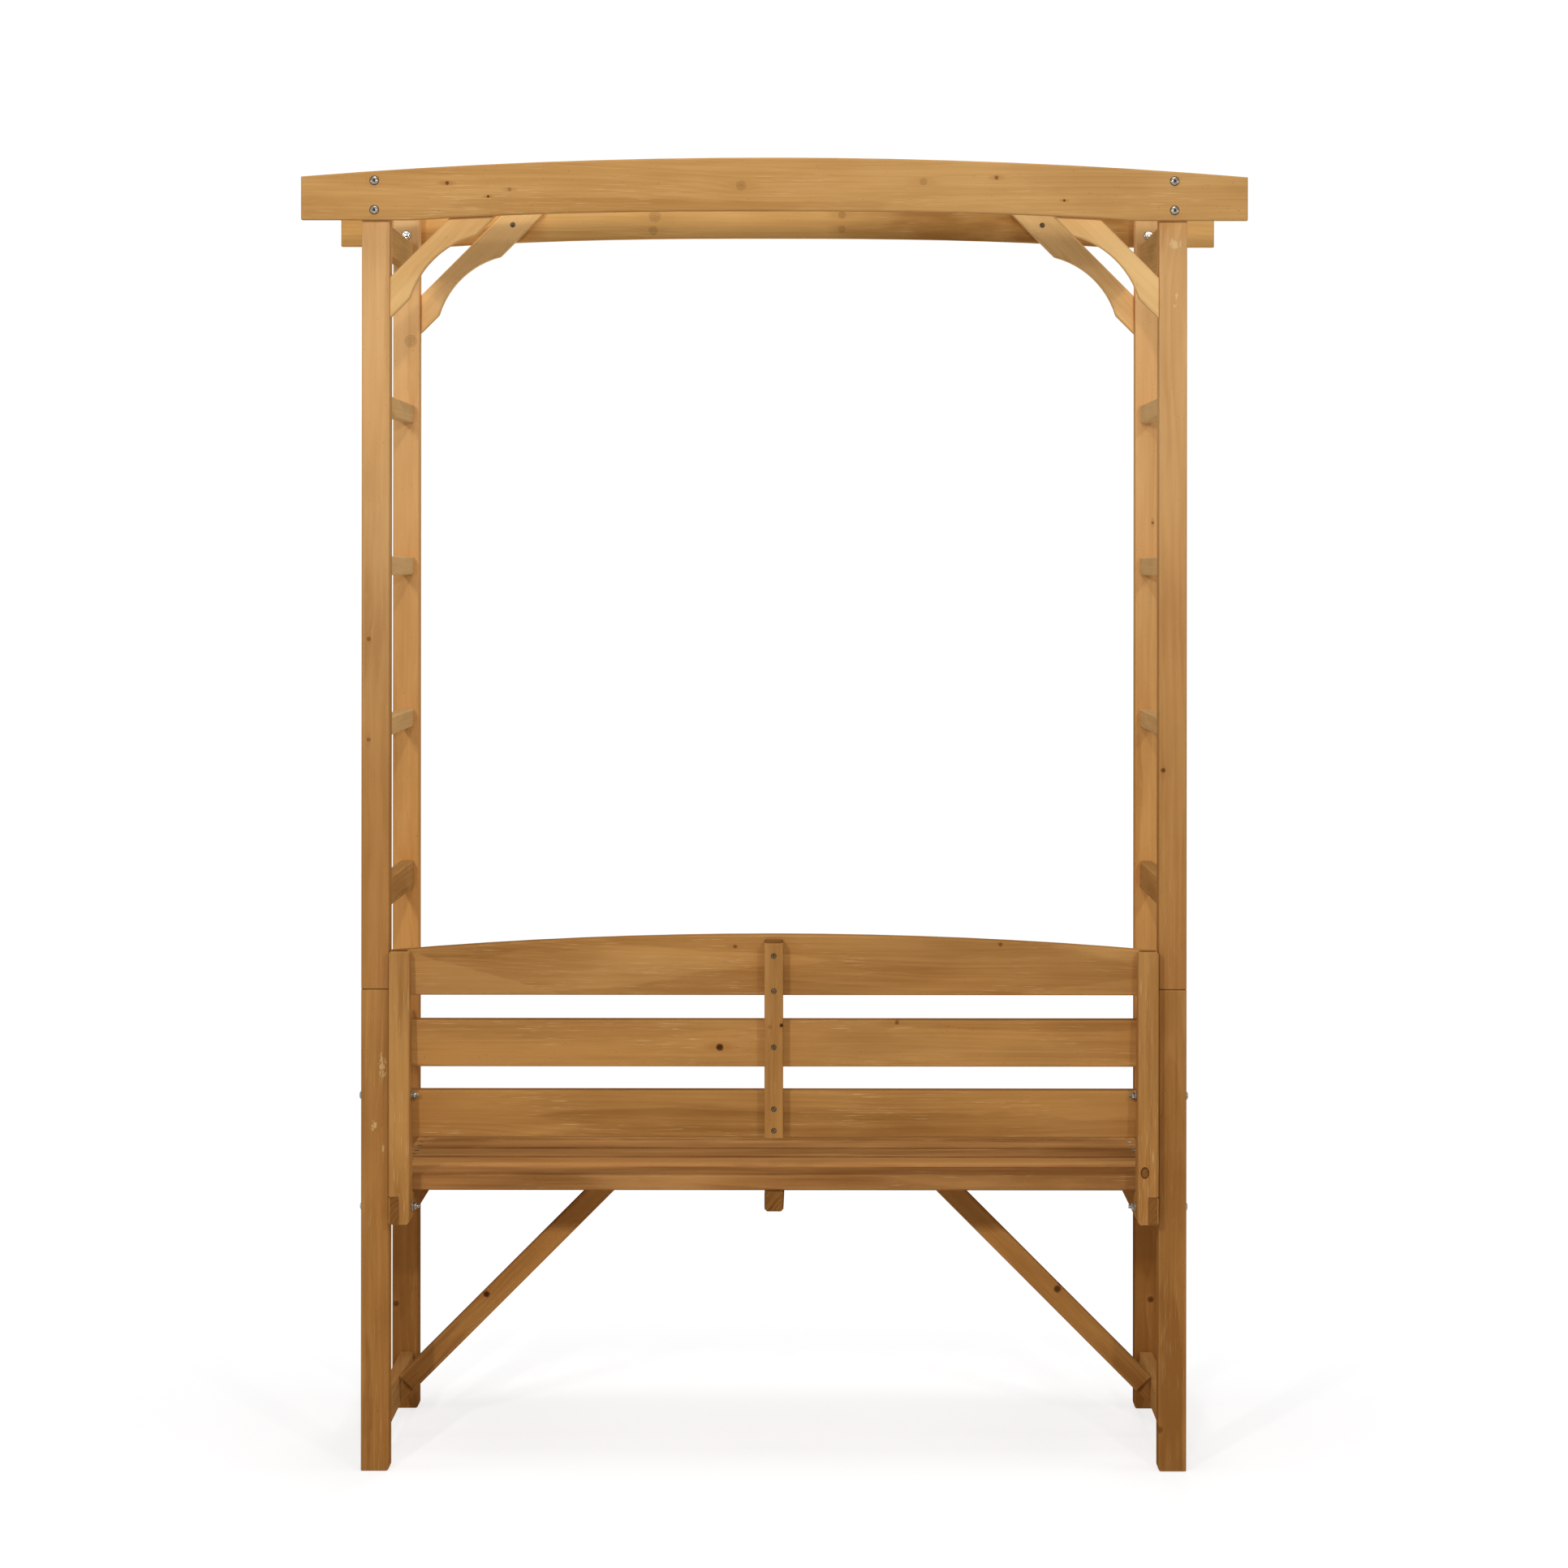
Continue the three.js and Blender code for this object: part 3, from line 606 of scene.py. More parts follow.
def stained_surface(wiring, shader, colour, height, end_grain, darkness):
    """Feeds the shader. End grain and late wood are a little rougher than the rest."""
    rough = TIMBER_ROUGHNESS
    for mask in (end_grain, darkness):
        rough = wiring.times_plus(mask, EXTRA_ROUGHNESS, rough)
    relief = {"Height": height, "Distance": GRAIN_DEPTH, "Strength": RELIEF_STRENGTH}
    bump = wiring.add("ShaderNodeBump", relief)
    wiring.feed(shader.inputs["Base Color"], colour)
    wiring.feed(shader.inputs["Roughness"], rough)
    wiring.feed(shader.inputs["Normal"], bump.outputs[0])
    shader.inputs["Specular IOR Level"].default_value = 0.0


def timber(board, seed, finish=STAIN, shade=0.0, pith=(0.05, 0.06), ring_width=0.007, heartwood=0.3,
           knots=(), scuffs=(), scratched=0.34, wear=0.3, soaked=0.0, darker_stretch=None, sapwood=None,
           jointed=False):
    """The material of one board.

    shade makes it darker or, below zero, lighter.
    pith is where the log's centre lies, across the grain, from the middle of the board.
    scratched is how pale the fine scratches are.
    wear pales the arrises, worn stain together with painted highlight where the eased edges catch the
    light, and soaked darkens them, soaked stain together with painted shade of the gaps between seat slats.
    darker_stretch is a patchy stretch in the deeper colour: (x from, full from, full to, x to, share).
    sapwood is paler timber below a line through a place: (x, z, slope).
    A jointed board has a dark line at its ends.
    """
    material, wiring, shader = new_material(f"{board.node}_timber")
    coordinates = wiring.add("ShaderNodeTexCoord").outputs
    placing = {"Vector": coordinates["Object"], "Location": -board.middle, "Rotation": board.turn}
    position = wiring.add("ShaderNodeMapping", placing).outputs[0]
    place = wiring.parts(coordinates["Object"])
    knot = knot_masks(wiring, board, position, knots)
    grain = board_grain(wiring, position, seed, pith, ring_width, heartwood, knot["Push"])
    facing = wiring.vector("DOT_PRODUCT", coordinates["Normal"], board.grain_axis())
    end_grain = wiring.step(wiring.maths("ABSOLUTE", facing), 0.8, 0.95)
    reach = SOAK_AND_SHADE_WIDTH if soaked else EDGE_BAND_WIDTH
    edges = wiring.group(ARRIS_BANDS, {"Position": position, "Half Size": list(board.half), "Width": reach})
    # Dark arrises: stain soaked in at the end grain, and on the seat slats soaked stain together with
    # painted shade of the gaps between them.
    dark_edges = wiring.times(edges["Mask"], wiring.maths("MAXIMUM", soaked, end_grain))

    pale, deep = stain_and_falloff_by_height(wiring, finish, place["Z"])
    darkness = wiring.maths("ADD", grain["Darkness"], shade, clamp=True)
    colour = wiring.mix(darkness, pale, deep)
    colour = wiring.tinted(colour, grain["Warmth"], WARMTH, WARM_TINT, "MULTIPLY")
    # A patchy darker stretch; on the front beam it is painted shadow.
    if darker_stretch:
        colour = wiring.mix(patchy_darker_stretch(wiring, position, place["X"], darker_stretch), colour, finish["low"][1])
    if sapwood:
        colour = wiring.tinted(colour, below_line(wiring, position, place, sapwood), SAPWOOD_SHARE, pale)
    colour = wiring.tinted(colour, grain["Scratches"], scratched, BARE_WOOD)
    end_rings = wiring.times(end_grain, grain["Rings"])
    colour = with_marks(wiring, colour, specks=grain["Specks"], end_grain=end_grain, end_rings=end_rings)
    # Pale arrises: worn stain together with painted highlight where the eased edges catch the light.
    colour = wiring.tinted(colour, edges["Mask"], wear, pale)
    colour = with_marks(wiring, colour, dark_edges=dark_edges)
    if jointed:
        colour = with_marks(wiring, colour, joint_line=edges["Ends"])
    if knots:
        masks = {"knot_halo": knot["Halo"], "knot_ring": knot["Ring"], "knot_heart": knot["Heart"]}
        colour = with_marks(wiring, colour, **masks)
    height = grain["Relief"]
    for mask in scuff_masks(wiring, board, position, scuffs):
        colour = wiring.tinted(colour, mask, SCUFF_SHARE, BARE_WOOD, "SCREEN")
        height = wiring.times_plus(mask, -1.0, height)
    stained_surface(wiring, shader, colour, height, end_grain, darkness)
    return material


def plug_timber(board):
    """Plain timber like the stile's, with the dark line of the glue round it."""
    material = timber(board, 41.0, shade=0.35, ring_width=0.004, wear=0.0)
    wiring = Wiring(material.node_tree)
    shader = material.node_tree.nodes["Principled BSDF"]
    wood = shader.inputs["Base Color"].links[0].from_socket
    low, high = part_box(board.node)
    centre = (low + high) / 2
    size = (high - low) / 2
    coordinates = wiring.add("ShaderNodeTexCoord").outputs["Object"]
    offset = wiring.vector("DIVIDE", wiring.vector("SUBTRACT", coordinates, centre), size)
    distance = wiring.vector("LENGTH", wiring.vector("MULTIPLY", offset, (1, 0, 1)))
    glue = wiring.step(distance, 0.76, 0.9, 0.0, 0.85)
    wiring.feed(shader.inputs["Base Color"], wiring.mix(glue, wood, JOINT_SHADE))
    return material


def mottled_metal(name, pale, deep, smooth, dull):
    """Plated steel whose colour and polish vary a little from place to place."""
    material, wiring, shader = new_material(name)
    position = wiring.add("ShaderNodeTexCoord").outputs["Object"]
    mottle = wiring.noise(position, across=0.0024, along=0.0024, detail=3.0)
    wiring.feed(shader.inputs["Base Color"], wiring.mix(wiring.step(mottle, 0.3, 0.7), pale, deep))
    wiring.feed(shader.inputs["Roughness"], wiring.step(mottle, 0.3, 0.7, smooth, dull))
    shader.inputs["Metallic"].default_value = 1
    return material


def recess_shade():
    """Painted shade: a dark, mottled timber colour for the recesses round and inside the steel heads."""
    material, wiring, shader = new_material("recess_shade")
    position = wiring.add("ShaderNodeTexCoord").outputs["Object"]
    painted_shade = wiring.noise(position, across=0.0011, along=0.0011, detail=3.0)
    wiring.feed(shader.inputs["Base Color"], wiring.mix(painted_shade, PAINTED_RECESS_SHADE, JOINT_SHADE))
    wiring.feed(shader.inputs["Roughness"], wiring.step(painted_shade, 0.3, 0.7, 0.7, 0.9))
    return material


def geometry_group(name, sizes=()):
    """An empty Geometry Nodes group that takes a mesh and named sizes, with its wiring and its inputs."""
    tree = bpy.data.node_groups.new(name, "GeometryNodeTree")
    tree.interface.new_socket("Mesh", in_out="INPUT", socket_type="NodeSocketGeometry")
    for label in sizes:
        tree.interface.new_socket(label, in_out="INPUT", socket_type="NodeSocketFloat")
    tree.interface.new_socket("Result", in_out="OUTPUT", socket_type="NodeSocketGeometry")
    wiring = Wiring(tree)
    return tree, wiring, wiring.add("NodeGroupInput").outputs


def smoothing_tree():
    """Shades every face smooth, so that the weighted normals can round the eased edges."""
    tree, wiring, given = geometry_group("smooth_faces")
    smooth = wiring.add("GeometryNodeSetShadeSmooth", {"Geometry": given["Mesh"], "Shade Smooth": True})
    wiring.add("NodeGroupOutput", {0: smooth.outputs[0]})
    return tree


SMOOTH = smoothing_tree()


def ease_edges(piece, width):
    """Rounds the arrises of a faceted timber."""
    weld = piece.modifiers.new("weld", "WELD")
    weld.merge_threshold = WELD_DISTANCE
    smooth = piece.modifiers.new("smooth", "NODES")
    smooth.node_group = SMOOTH
    bevel = piece.modifiers.new("bevel", "BEVEL")
    bevel.width = width
    bevel.segments = 2
    bevel.limit_method = "ANGLE"
    bevel.angle_limit = math.radians(25)
    normals = piece.modifiers.new("normals", "WEIGHTED_NORMAL")
    normals.weight = 60
    normals.keep_sharp = False


def dress(node, material):
    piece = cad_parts[node]
    piece.data.materials.clear()
    piece.data.materials.append(material)


def dress_board(node, turn, seed, **looks):
    """Gives a board its own timber. The turn lays its grain along Z."""
    dress(node, timber(Board(node, turn), seed, **looks))


# Knots are (x, z, radius, darkness) and scuffs (x, z, half width, half height), where they show from behind
POST_LOOKS = {
    "left_rear_upper_post": {"knots": [(-0.633, 1.2987, 0.0032, 0.5), (-0.633, 1.1416, 0.003, 0.5)]},
    "left_rear_lower_post": {
        "heartwood": 0.1,
        "shade": 0.22,
        "scuffs": [
            (-0.611, 0.632, 0.0045, 0.018),
            (-0.624, 0.539, 0.004, 0.008),
            (-0.61, 0.503, 0.002, 0.005),
        ],
    },
    "right_rear_upper_post": {
        "heartwood": 0.1,
        "knots": [(0.6075, 1.0947, 0.0035, 0.8)],
        "scuffs": [(0.626, 1.916, 0.009, 0.007), (0.628, 1.835, 0.002, 0.006), (0.625, 1.82, 0.003, 0.003)],
    },
    "right_rear_lower_post": {"knots": [(0.6025, 0.065, 0.005, 0.5)], "shade": 0.35},
    "left_front_upper_post": {"knots": [(-0.6147, 1.7895, 0.0095, 0.0)], "heartwood": 0.1},
    "right_front_upper_post": {"knots": [(0.63, 1.486, 0.002, 0.7)], "heartwood": 0.1},
    "left_front_lower_post": {"knots": [(-0.638, 0.175, 0.0045, 0.7)], "shade": 0.2},
    "right_front_lower_post": {"knots": [(0.6277, 0.183, 0.005, 0.8)], "shade": 0.2},
}
BATTEN_KNOTS = [(-0.0058, 0.6956, 0.003, 0.2), (0.012, 0.698, 0.003, 1.0)]
BRACE_KNOTS = {"left": [(-0.4674, 0.2326, 0.005, 1.0)], "right": [(0.4573, 0.2418, 0.0055, 0.9)]}
STILE_SHADES = {"left": -0.1, "right": 0.05}
SLAT_LOOKS = {
    "top_back_slat": {
        "knots": [(-0.0606, 0.8185, 0.003, 0.6), (0.3538, 0.8223, 0.003, 0.6)],
        "heartwood": 0.6,
        "sapwood": (-0.488, 0.7876, -0.279),
    },
    "middle_back_slat": {
        "shade": -0.08,
        "knots": [(-0.0848, 0.6596, 0.0055, 1.0), (0.1925, 0.699, 0.003, 0.6)],
        "heartwood": 0.5,
    },
    "low_back_slat": {"shade": -0.1},
}
SEAT_LOOKS = {
    "seat_slat_1": {"shade": 0.2, "darker_stretch": (-0.1, 0.5, 0.7, 0.8, 0.65)},
    "seat_slat_2": {"shade": -0.35},
    "seat_slat_3": {},
    "seat_slat_4": {"shade": 0.1},
    "seat_slat_5": {},
}
BEAM_LOOKS = {
    "rear_beam": {
        "knots": [
            (-0.5094, 2.0089, 0.003, 0.8),
            (-0.4121, 1.9988, 0.0028, 0.4),
            (-0.4456, 1.988, 0.0019, 1.0),
            (0.451, 1.9825, 0.0018, 1.0),
            (-0.052, 2.005, 0.007, 0.0),
            (0.232, 2.0114, 0.0052, 0.1),
            (0.3456, 2.0177, 0.003, 0.6),
        ],
    },
    "front_beam": {
        "knots": [
            (-0.207, 2.0026, 0.009, 0.0),
            (-0.21, 1.979, 0.007, 0.0),
            (0.1086, 2.006, 0.0055, 0.2),
            (0.1086, 1.9815, 0.0055, 0.2),
        ],
        # Painted shadow: the darker stretch on the front beam's right part, up to the post.
        "darker_stretch": (0.06, 0.2, 0.58, 0.68, 0.85),
        "finish": FRONT_BEAM_STAIN,
    },
}


def dress_sides():
    """The posts, rails, rungs, brackets, braces, stiles and seat rails of both sides."""
    seed = 3.0
    for side in SIDES:
        rising = RISING_RIGHT if side == "left" else RISING_LEFT
        for end in ("rear", "front"):
            for length in ("lower", "upper"):
                seed += 1.37
                node = f"{side}_{end}_{length}_post"
                pith = (0.05 * math.sin(seed), 0.07)
                finish = POST_STAINS[end, length]
                looks = {"scratched": 0.15, "jointed": True, **POST_LOOKS.get(node, {})}
                dress_board(node, ALONG_Z, seed, finish=finish, pith=pith, **looks)
            seed += 1.1
            dress_board(f"{side}_{end}_bracket", rising, seed, finish=LIGHT_STAIN, wear=0.0)
        for rail in ("foot_rail", "arm_rail", "lattice_rail", "top_rail"):
            seed += 0.93
            finish = LIGHT_STAIN if rail == "foot_rail" else STAIN
            dress_board(f"{side}_{rail}", ALONG_Y, seed, finish=finish)
        for rung in (1, 2, 3):
            seed += 0.77
            dress_board(f"{side}_rung_{rung}", ALONG_Y, seed, finish=PALE_STAIN)
        seed += 0.9
        dress_board(f"{side}_brace", rising, seed, knots=BRACE_KNOTS[side], shade=0.2, scratched=0.15)
        dress_board(f"{side}_stile", ALONG_Z, seed + 0.5, shade=STILE_SHADES[side])
        dress_board(f"{side}_seat_rail", ALONG_Y, seed + 0.8, pith=(0.05, 0.05), ring_width=0.0032)
    dress(PLUG, plug_timber(Board(PLUG, ALONG_Y)))


def dress_beams():
    for number, (beam, looks) in enumerate(BEAM_LOOKS.items()):
        dress_board(beam, ALONG_X, 61.0 + 2.3 * number, pith=(0.09, 0.05), **looks)


def dress_bench():
    seed = 71.0
    for slat, looks in SLAT_LOOKS.items():
        seed += 1.9
        dress_board(slat, LEANING_ALONG_X, seed, pith=(0.07, 0.05), **looks)
    dress_board("back_batten", LEANING_BACK, seed + 1, knots=BATTEN_KNOTS, shade=0.1)
    for slat, looks in SEAT_LOOKS.items():
        seed += 1.3
        # The seat slats' arrises are darkened: soaked stain together with painted shade of the gaps between
        # them.
        dress_board(slat, ALONG_X, seed, finish=SEAT_STAIN, wear=0.0, soaked=0.8, **looks)
    dress_board("centre_bearer", ALONG_Y, seed + 1)


def cylinder(wiring, sides, radius, depth, foot=0.0, rings=1):
    """An upright cylinder whose lower end is at the height foot."""
    inputs = {"Vertices": sides, "Side Segments": rings, "Radius": radius, "Depth": depth}
    mesh = wiring.add("GeometryNodeMeshCylinder", inputs).outputs["Mesh"]
    middle = wiring.times_plus(depth, 0.5, foot)
    return moved(wiring, mesh, Translation=wiring.joined(Z=middle))


def moved(wiring, mesh, **change):
    return wiring.add("GeometryNodeTransform", {"Geometry": mesh, **change}).outputs[0]


def boolean(wiring, operation, first, *others):
    node = wiring.add("GeometryNodeMeshBoolean", operation=operation)
    if operation == "DIFFERENCE":
        wiring.feed(node.inputs["Mesh 1"], first)
    else:
        wiring.feed(node.inputs["Mesh 2"], first)
    for other in others:
        wiring.feed(node.inputs["Mesh 2"], other)
    return node.outputs["Mesh"]


def join(wiring, *meshes):
    node = wiring.add("GeometryNodeJoinGeometry")
    for mesh in meshes:
        wiring.feed(node.inputs[0], mesh)
    return node.outputs[0]


def placed(wiring, points, mesh, facing, **settings):
    """Copies of a mesh on points, with the mesh's Z turned to facing."""
    rotation = wiring.add("FunctionNodeAlignRotationToVector", {"Vector": facing}, axis="Z").outputs[0]
    inputs = {"Points": points, "Instance": mesh, "Rotation": rotation, **settings}
    return wiring.add("GeometryNodeInstanceOnPoints", inputs).outputs[0]


def attribute(wiring, name, kind):
    return wiring.add("GeometryNodeInputNamedAttribute", {"Name": name}, data_type=kind).outputs[0]


def marked(wiring, mesh):
    """The mesh with all its faces marked for the second material."""
    inputs = {"Geometry": mesh, "Name": "marked", "Value": True}
    node = wiring.add("GeometryNodeStoreNamedAttribute", inputs, data_type="BOOLEAN", domain="FACE")
    return node.outputs[0]


def finished(wiring, instances, material, material_where_marked):
    """Makes the instances real and gives them their materials."""
    mesh = wiring.add("GeometryNodeRealizeInstances", {"Geometry": instances}).outputs[0]
    mesh = wiring.add("GeometryNodeSetMaterial", {"Geometry": mesh, "Material": material}).outputs[0]
    chosen = attribute(wiring, "marked", "BOOLEAN")
    inputs = {"Geometry": mesh, "Selection": chosen, "Material": material_where_marked}
    wiring.add("NodeGroupOutput", {0: wiring.add("GeometryNodeSetMaterial", inputs).outputs[0]})


def shade_ring(wiring, given, radius):
    """A thin ring of painted shade round the steel, where it meets the timber."""
    outer = wiring.maths("ADD", given[radius], given["Rim Width"])
    return marked(wiring, cylinder(wiring, 32, outer, given["Rim Height"]))


def washer_and_nut(wiring, given):
    """A washer with a nut on it, whose corners a ball rounds off."""
    washer = cylinder(wiring, 32, given["Washer Radius"], given["Washer Thickness"])
    prism = cylinder(wiring, 6, given["Nut Radius"], given["Nut Height"])
    rounding = wiring.times(given["Nut Radius"], 1.06)
    ball = wiring.add("GeometryNodeMeshUVSphere", {"Segments": 32, "Rings": 16, "Radius": rounding})
    centre = wiring.joined(Z=wiring.times(given["Nut Height"], 0.5))
    nut = boolean(wiring, "INTERSECT", prism, moved(wiring, ball.outputs["Mesh"], Translation=centre))
    return join(wiring, washer, moved(wiring, nut, Translation=wiring.joined(Z=given["Washer Thickness"])))


def thread(wiring, given, length):
    """A threaded rod, whose rings go in and out by THREAD_DEPTH of its radius."""
    half_pitch = wiring.times(given["Thread Pitch"], 0.5)
    rings = wiring.maths("ROUND", wiring.maths("DIVIDE", length, half_pitch))
    rod = cylinder(wiring, 20, given["Shank Radius"], length, rings=rings)
    place = wiring.add("GeometryNodeInputPosition").outputs[0]
    height = wiring.parts(place)["Z"]
    zigzag = wiring.maths("DIVIDE", wiring.maths("PINGPONG", height, half_pitch), half_pitch)
    narrowing = wiring.times_plus(zigzag, -THREAD_DEPTH, 1.0)
    narrowed = wiring.vector("MULTIPLY", place, wiring.joined(X=narrowing, Y=narrowing, Z=1.0))
    return wiring.add("GeometryNodeSetPosition", {"Geometry": rod, "Position": narrowed}).outputs[0]


def threaded_end(wiring, given):
    """Washer, nut and threaded tip, from the timber's face up."""
    seat = wiring.maths("ADD", given["Washer Thickness"], given["Nut Height"])
    rod = thread(wiring, given, wiring.maths("ADD", seat, given["Tip Length"]))
    return join(wiring, washer_and_nut(wiring, given), rod, shade_ring(wiring, given, "Washer Radius"))


def domed_head(wiring, given):
    """A dome with a six-sided socket, from the timber's face up."""
    radius = given["Head Radius"]
    ball = wiring.add("GeometryNodeMeshUVSphere", {"Segments": 32, "Rings": 20, "Radius": radius})
    flat = wiring.maths("DIVIDE", given["Head Height"], radius)
    ball = moved(wiring, ball.outputs["Mesh"], Scale=wiring.joined(X=1.0, Y=1.0, Z=flat))
    above = cylinder(wiring, 12, wiring.times(radius, 2.0), radius)
    dome = boolean(wiring, "INTERSECT", ball, above)
    floor = wiring.maths("SUBTRACT", given["Head Height"], given["Socket Depth"])
    socket = cylinder(wiring, 6, given["Socket Radius"], given["Head Height"], foot=floor)
    dome = boolean(wiring, "DIFFERENCE", dome, socket)
    # Painted shade lines the floor of the socket.
    socket_shade_radius = wiring.times(given["Socket Radius"], 0.97)
    socket_shade = cylinder(wiring, 6, socket_shade_radius, SOCKET_SHADE_DEPTH, foot=floor)
    return join(wiring, dome, marked(wiring, socket_shade), shade_ring(wiring, given, "Head Radius"))


def bolt_tree(steel, shadow):
    """Bolts through the timbers, by each point's facing and grip. A point is where a head sits."""
    tree, wiring, given = geometry_group("bolts", BOLT_SIZES)
    points = given["Mesh"]
    facing = attribute(wiring, "facing", "FLOAT_VECTOR")
    grip = attribute(wiring, "grip", "FLOAT")
    heads = placed(wiring, points, domed_head(wiring, given), facing)
    back = wiring.scaled(facing, -1.0)
    through = {"Geometry": points, "Offset": wiring.scaled(back, grip)}
    far_points = wiring.add("GeometryNodeSetPosition", through).outputs[0]
    ends = placed(wiring, far_points, threaded_end(wiring, given), back)
    shank = cylinder(wiring, 20, given["Shank Radius"], 1.0)
    length = wiring.joined(X=1.0, Y=1.0, Z=grip)
    shanks = placed(wiring, points, shank, back, Scale=length)
    finished(wiring, join(wiring, heads, ends, shanks), steel, shadow)
    return tree


def screw_tree(head, shade_rim):
    """Screw heads on points, each a disc with a crossed slot inside a collar of painted shade."""
    tree, wiring, given = geometry_group("screw_heads", SCREW_SIZES)
    radius = given["Head Radius"]
    height = given["Head Height"]
    disc = cylinder(wiring, 24, radius, height)
    half = wiring.times(height, 0.5)
    length = wiring.times(radius, 1.25)
    slots = []
    for first, second in ((length, given["Slot Width"]), (given["Slot Width"], length)):
        box = wiring.add("GeometryNodeMeshCube", {"Size": wiring.joined(X=first, Y=second, Z=height)})
        slots.append(moved(wiring, box.outputs["Mesh"], Translation=wiring.joined(Z=height)))
    disc = boolean(wiring, "DIFFERENCE", disc, *slots)
    shade_collar = cylinder(wiring, 24, wiring.maths("ADD", radius, given["Rim Width"]), half)
    facing = attribute(wiring, "facing", "FLOAT_VECTOR")
    screw = join(wiring, marked(wiring, disc), shade_collar)
    finished(wiring, placed(wiring, given["Mesh"], screw, facing), shade_rim, head)
    return tree


def make_on_points(name, tree, sizes, places, grips=()):
    """Runs a tree on (place, facing) points and makes what it gives a plain mesh that rides on the seat."""
    points = bpy.data.meshes.new(f"{name}_places")
    points.from_pydata([place for place, _ in places], [], [])
    facing = points.attributes.new("facing", "FLOAT_VECTOR", "POINT")
    facing.data.foreach_set("vector", [value for _, normal in places for value in normal])
    if grips:
        points.attributes.new("grip", "FLOAT", "POINT").data.foreach_set("value", grips)
    maker = bpy.data.objects.new(f"{name}_maker", points)
    bpy.context.scene.collection.objects.link(maker)
    modifier = maker.modifiers.new(name, "NODES")
    modifier.node_group = tree
    for socket in tree.interface.items_tree:
        if socket.name in sizes:
            modifier[socket.identifier] = sizes[socket.name]
    bpy.context.view_layer.update()
    graph = bpy.context.evaluated_depsgraph_get()
    mesh = bpy.data.meshes.new_from_object(maker.evaluated_get(graph))
    bpy.data.objects.remove(maker)
    mesh.shade_smooth()
    mesh.set_sharp_from_angle(angle=math.radians(35))
    piece = bpy.data.objects.new(name, mesh)
    bpy.context.scene.collection.objects.link(piece)
    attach(piece, BODY)
    return piece


def screw_places():
    """Every screw head that shows, as (place, facing)."""
    behind = cad_low.y - 1
    ahead = cad_high.y + 1
    above = cad_high.z + 1
    places = [on_face("back_batten", (0, behind, z), (0, 1, 0)) for z in BATTEN_SCREW_HEIGHTS]
    for side, sign in SIDES.items():
        for slat in SEAT_LOOKS:
            low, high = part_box(slat)
            for shift in (-SLAT_SCREW_SPACING / 2, SLAT_SCREW_SPACING / 2):
                start = (sign * SLAT_SCREW_OFFSET, (low.y + high.y) / 2 + shift, above)
                places.append(on_face(slat, start, (0, 0, -1)))
        x = sign * BRACKET_SCREW_OFFSET
        places.append(on_face(f"{side}_front_bracket", (x, behind, BRACKET_SCREW_HEIGHT), (0, 1, 0)))
        places.append(on_face(f"{side}_rear_bracket", (x, ahead, BRACKET_SCREW_HEIGHT), (0, -1, 0)))
    return places


def bolt_places():
    """Where each bolt's head sits and the way that it looks, with the thickness of timber that it holds."""
    outside = ("Head Height", "Washer Thickness", "Nut Height", "Tip Length")
    hardware = sum(BOLT_SIZES[name] for name in outside)
    places = []
    grips = []
    for node in BOLT_NODES:
        low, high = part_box(node)
        size = high - low
        axis = list(size).index(max(size))
        middle = (low + high) / 2
        facing = Vector((0, 0, 0))
        facing[axis] = math.copysign(1, middle[axis])
        place = middle + facing * (size[axis] / 2 - BOLT_SIZES["Head Height"])
        places.append((place, facing))
        grips.append(size[axis] - hardware)
    return places, grips


def add_fasteners():
    zinc = mottled_metal("zinc_plate", ZINC_PALE, ZINC_DEEP, 0.2, 0.42)
    screw = mottled_metal("screw_plate", SCREW_PALE, SCREW_DEEP, 0.45, 0.7)
    painted_shade = recess_shade()
    places, grips = bolt_places()
    bolts = make_on_points("bolts", bolt_tree(zinc, painted_shade), BOLT_SIZES, places, grips)
    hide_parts(*BOLT_NODES)
    for node in BOLT_NODES:
        dress(node, zinc)
    screws = screw_tree(screw, painted_shade)
    make_on_points("screws", screws, SCREW_SIZES, screw_places())


def add_camera():
    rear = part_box("left_rear_upper_post")[0].y
    data = bpy.data.cameras.new("photo_camera")
    data.sensor_width = SENSOR
    data.lens = LENS
    data.shift_x = (IMAGE_PIXELS / 2 - VANISHING_PIXEL[0]) / IMAGE_PIXELS
    data.shift_y = (VANISHING_PIXEL[1] - IMAGE_PIXELS / 2) / IMAGE_PIXELS
    camera = bpy.data.objects.new("photo_camera", data)
    camera.location = (CAMERA_OFFSET, rear - CAMERA_DISTANCE, CAMERA_HEIGHT)
    camera.rotation_euler = (math.radians(90), CAMERA_ROLL, 0)
    bpy.context.scene.collection.objects.link(camera)
    bpy.context.scene.camera = camera


def add_lamp(name, place, aim, size, share):
    """A disc lamp that gives a share of full light at REACH metres."""
    data = bpy.data.lights.new(name, "AREA")
    data.shape = "DISK"
    data.size = size
    data.energy = share * (math.pi * REACH) ** 2
    lamp = bpy.data.objects.new(name, data)
    lamp.location = place
    lamp.rotation_euler = (Vector((0, 0, aim)) - Vector(place)).to_track_quat("-Z", "Y").to_euler()
    bpy.context.scene.collection.objects.link(lamp)


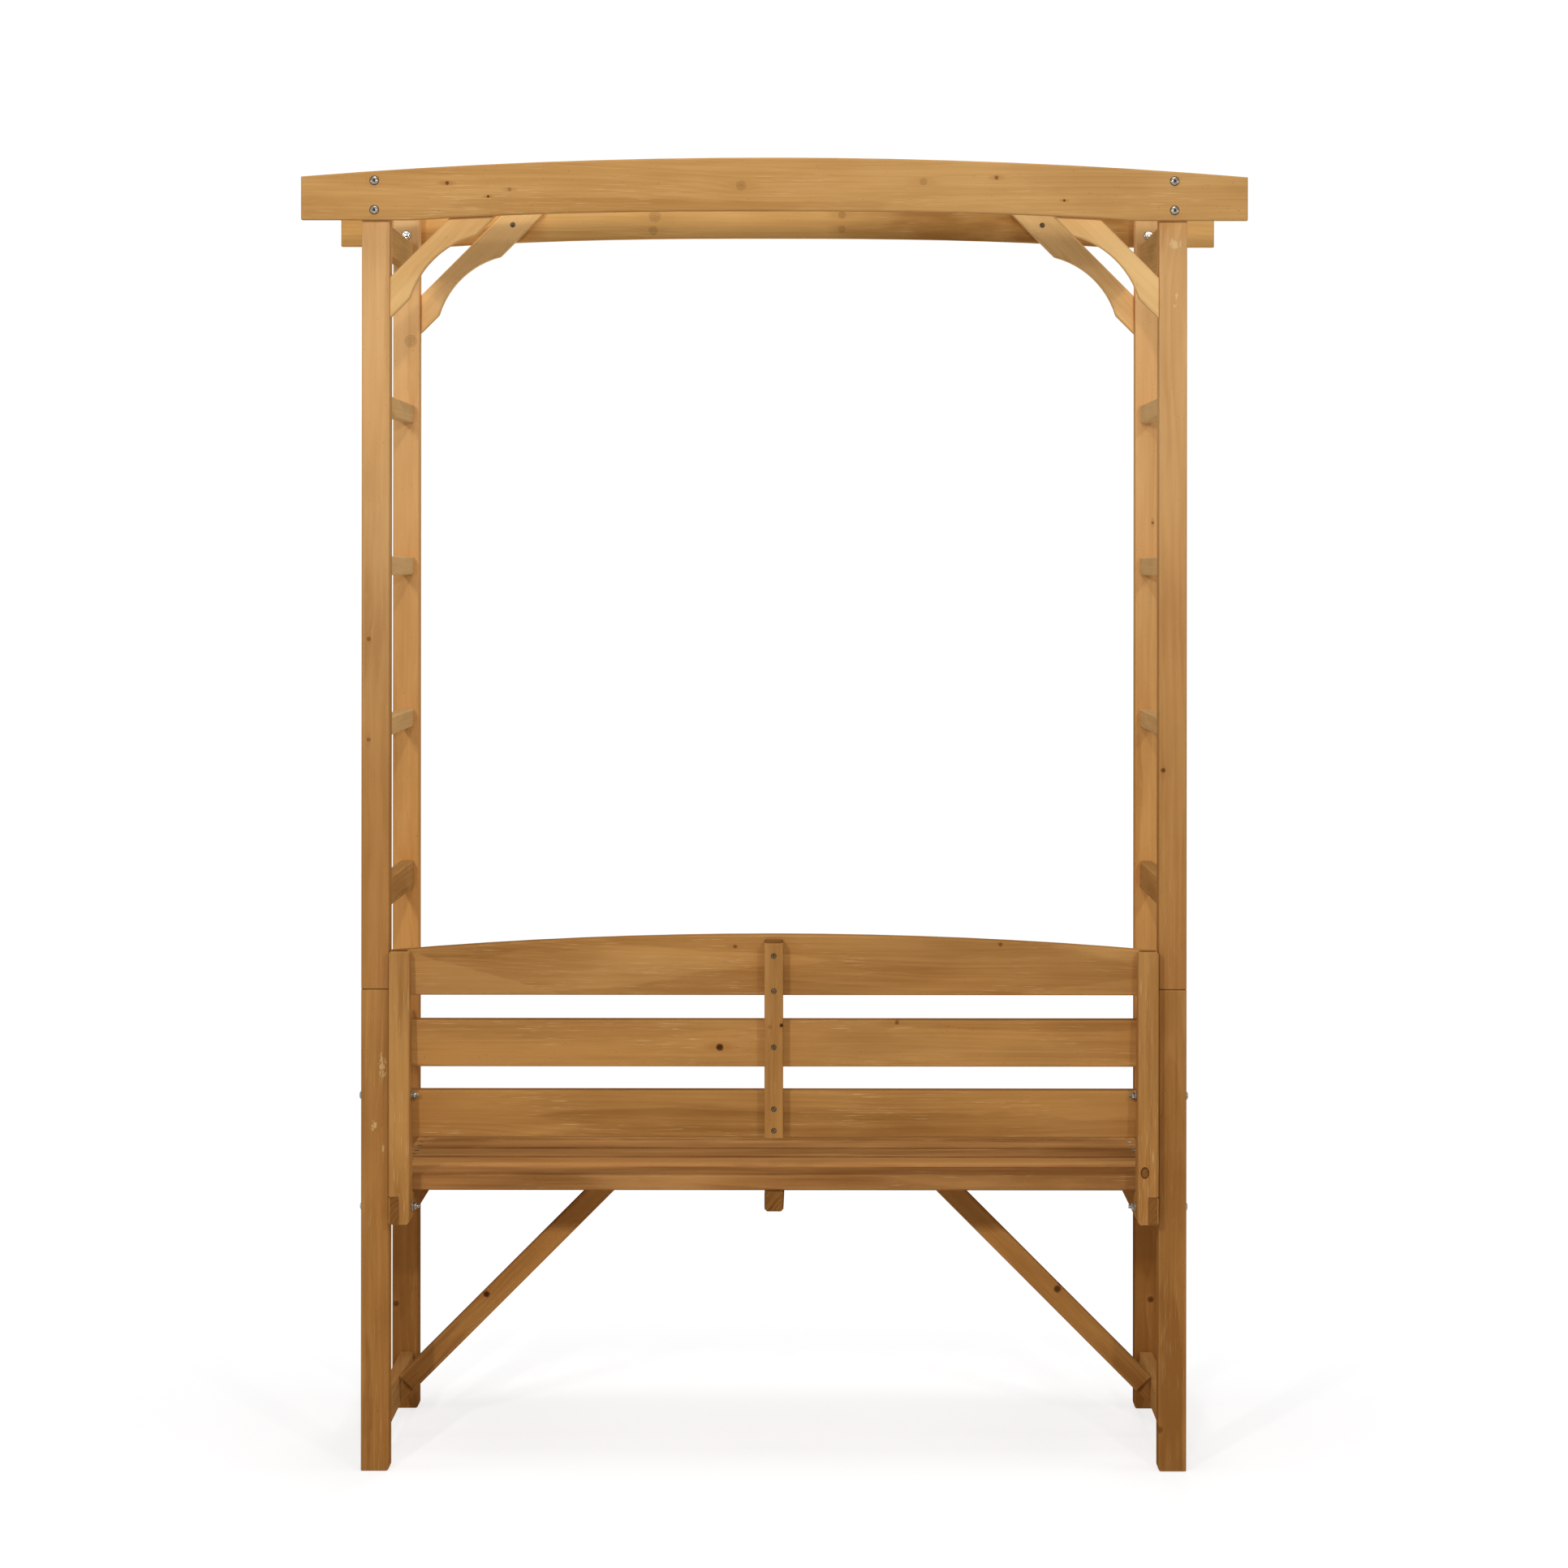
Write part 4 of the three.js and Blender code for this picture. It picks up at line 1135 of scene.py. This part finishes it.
def seen_directly(wiring):
    """1 for what the camera sees, less for what the bolts' gloss sees, and 0 for the light on the seat."""
    rays = wiring.add("ShaderNodeLightPath").outputs
    gloss = wiring.times(rays["Is Glossy Ray"], GLOSS_SHARE)
    direct = wiring.maths("MAXIMUM", rays["Is Camera Ray"], rays["Is Transmission Ray"])
    return wiring.maths("MAXIMUM", direct, gloss)


def add_world():
    """Plain light from all round, and a white background."""
    world = bpy.data.worlds.new("studio")
    wiring = emptied(world)
    strength = wiring.step(seen_directly(wiring), 0.0, 1.0, AMBIENT_SHARE, BACKDROP_STRENGTH)
    background = wiring.add("ShaderNodeBackground", {"Color": PAPER_WHITE, "Strength": strength})
    wiring.add("ShaderNodeOutputWorld", {"Surface": background.outputs[0]})
    bpy.context.scene.world = world


def add_floor():
    """A white floor that keeps the faint shadows round the feet and fades into the white background."""
    place = (0, 0, FLOOR_DROP)
    bpy.ops.mesh.primitive_circle_add(vertices=96, radius=FLOOR_RADIUS, fill_type="NGON", location=place)
    floor = bpy.context.active_object
    floor.name = "studio_floor"
    material = bpy.data.materials.new("studio_floor")
    wiring = emptied(material)
    position = wiring.add("ShaderNodeTexCoord").outputs["Object"]
    distance = wiring.vector("LENGTH", wiring.vector("MULTIPLY", position, FLOOR_STRETCH))
    fading = wiring.step(distance, *FLOOR_FADE)
    seen = seen_directly(wiring)
    paint = wiring.mix(seen, FLOOR_PAINT, wiring.mix(fading, SHADOW_PAINT, NO_PAINT))
    glow = wiring.times_plus(fading, BACKDROP_STRENGTH - SHADOW_GLOW, SHADOW_GLOW)
    glow = wiring.times(seen, glow)
    lit = wiring.add("ShaderNodeBsdfDiffuse", {"Color": paint})
    white = wiring.add("ShaderNodeEmission", {"Color": PAPER_WHITE, "Strength": glow})
    both = wiring.add("ShaderNodeAddShader", {0: lit.outputs[0], 1: white.outputs[0]})
    wiring.add("ShaderNodeOutputMaterial", {"Surface": both.outputs[0]})
    floor.data.materials.append(material)


add_camera()
dress_sides()
dress_beams()
dress_bench()
add_fasteners()
for node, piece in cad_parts.items():
    if node not in BOLT_NODES and node != PLUG:
        ease_edges(piece, EASED_EDGE)

add_world()
add_floor()
for name, settings in LAMPS.items():
    add_lamp(name, **settings)
bpy.context.scene.view_settings.view_transform = "Standard"
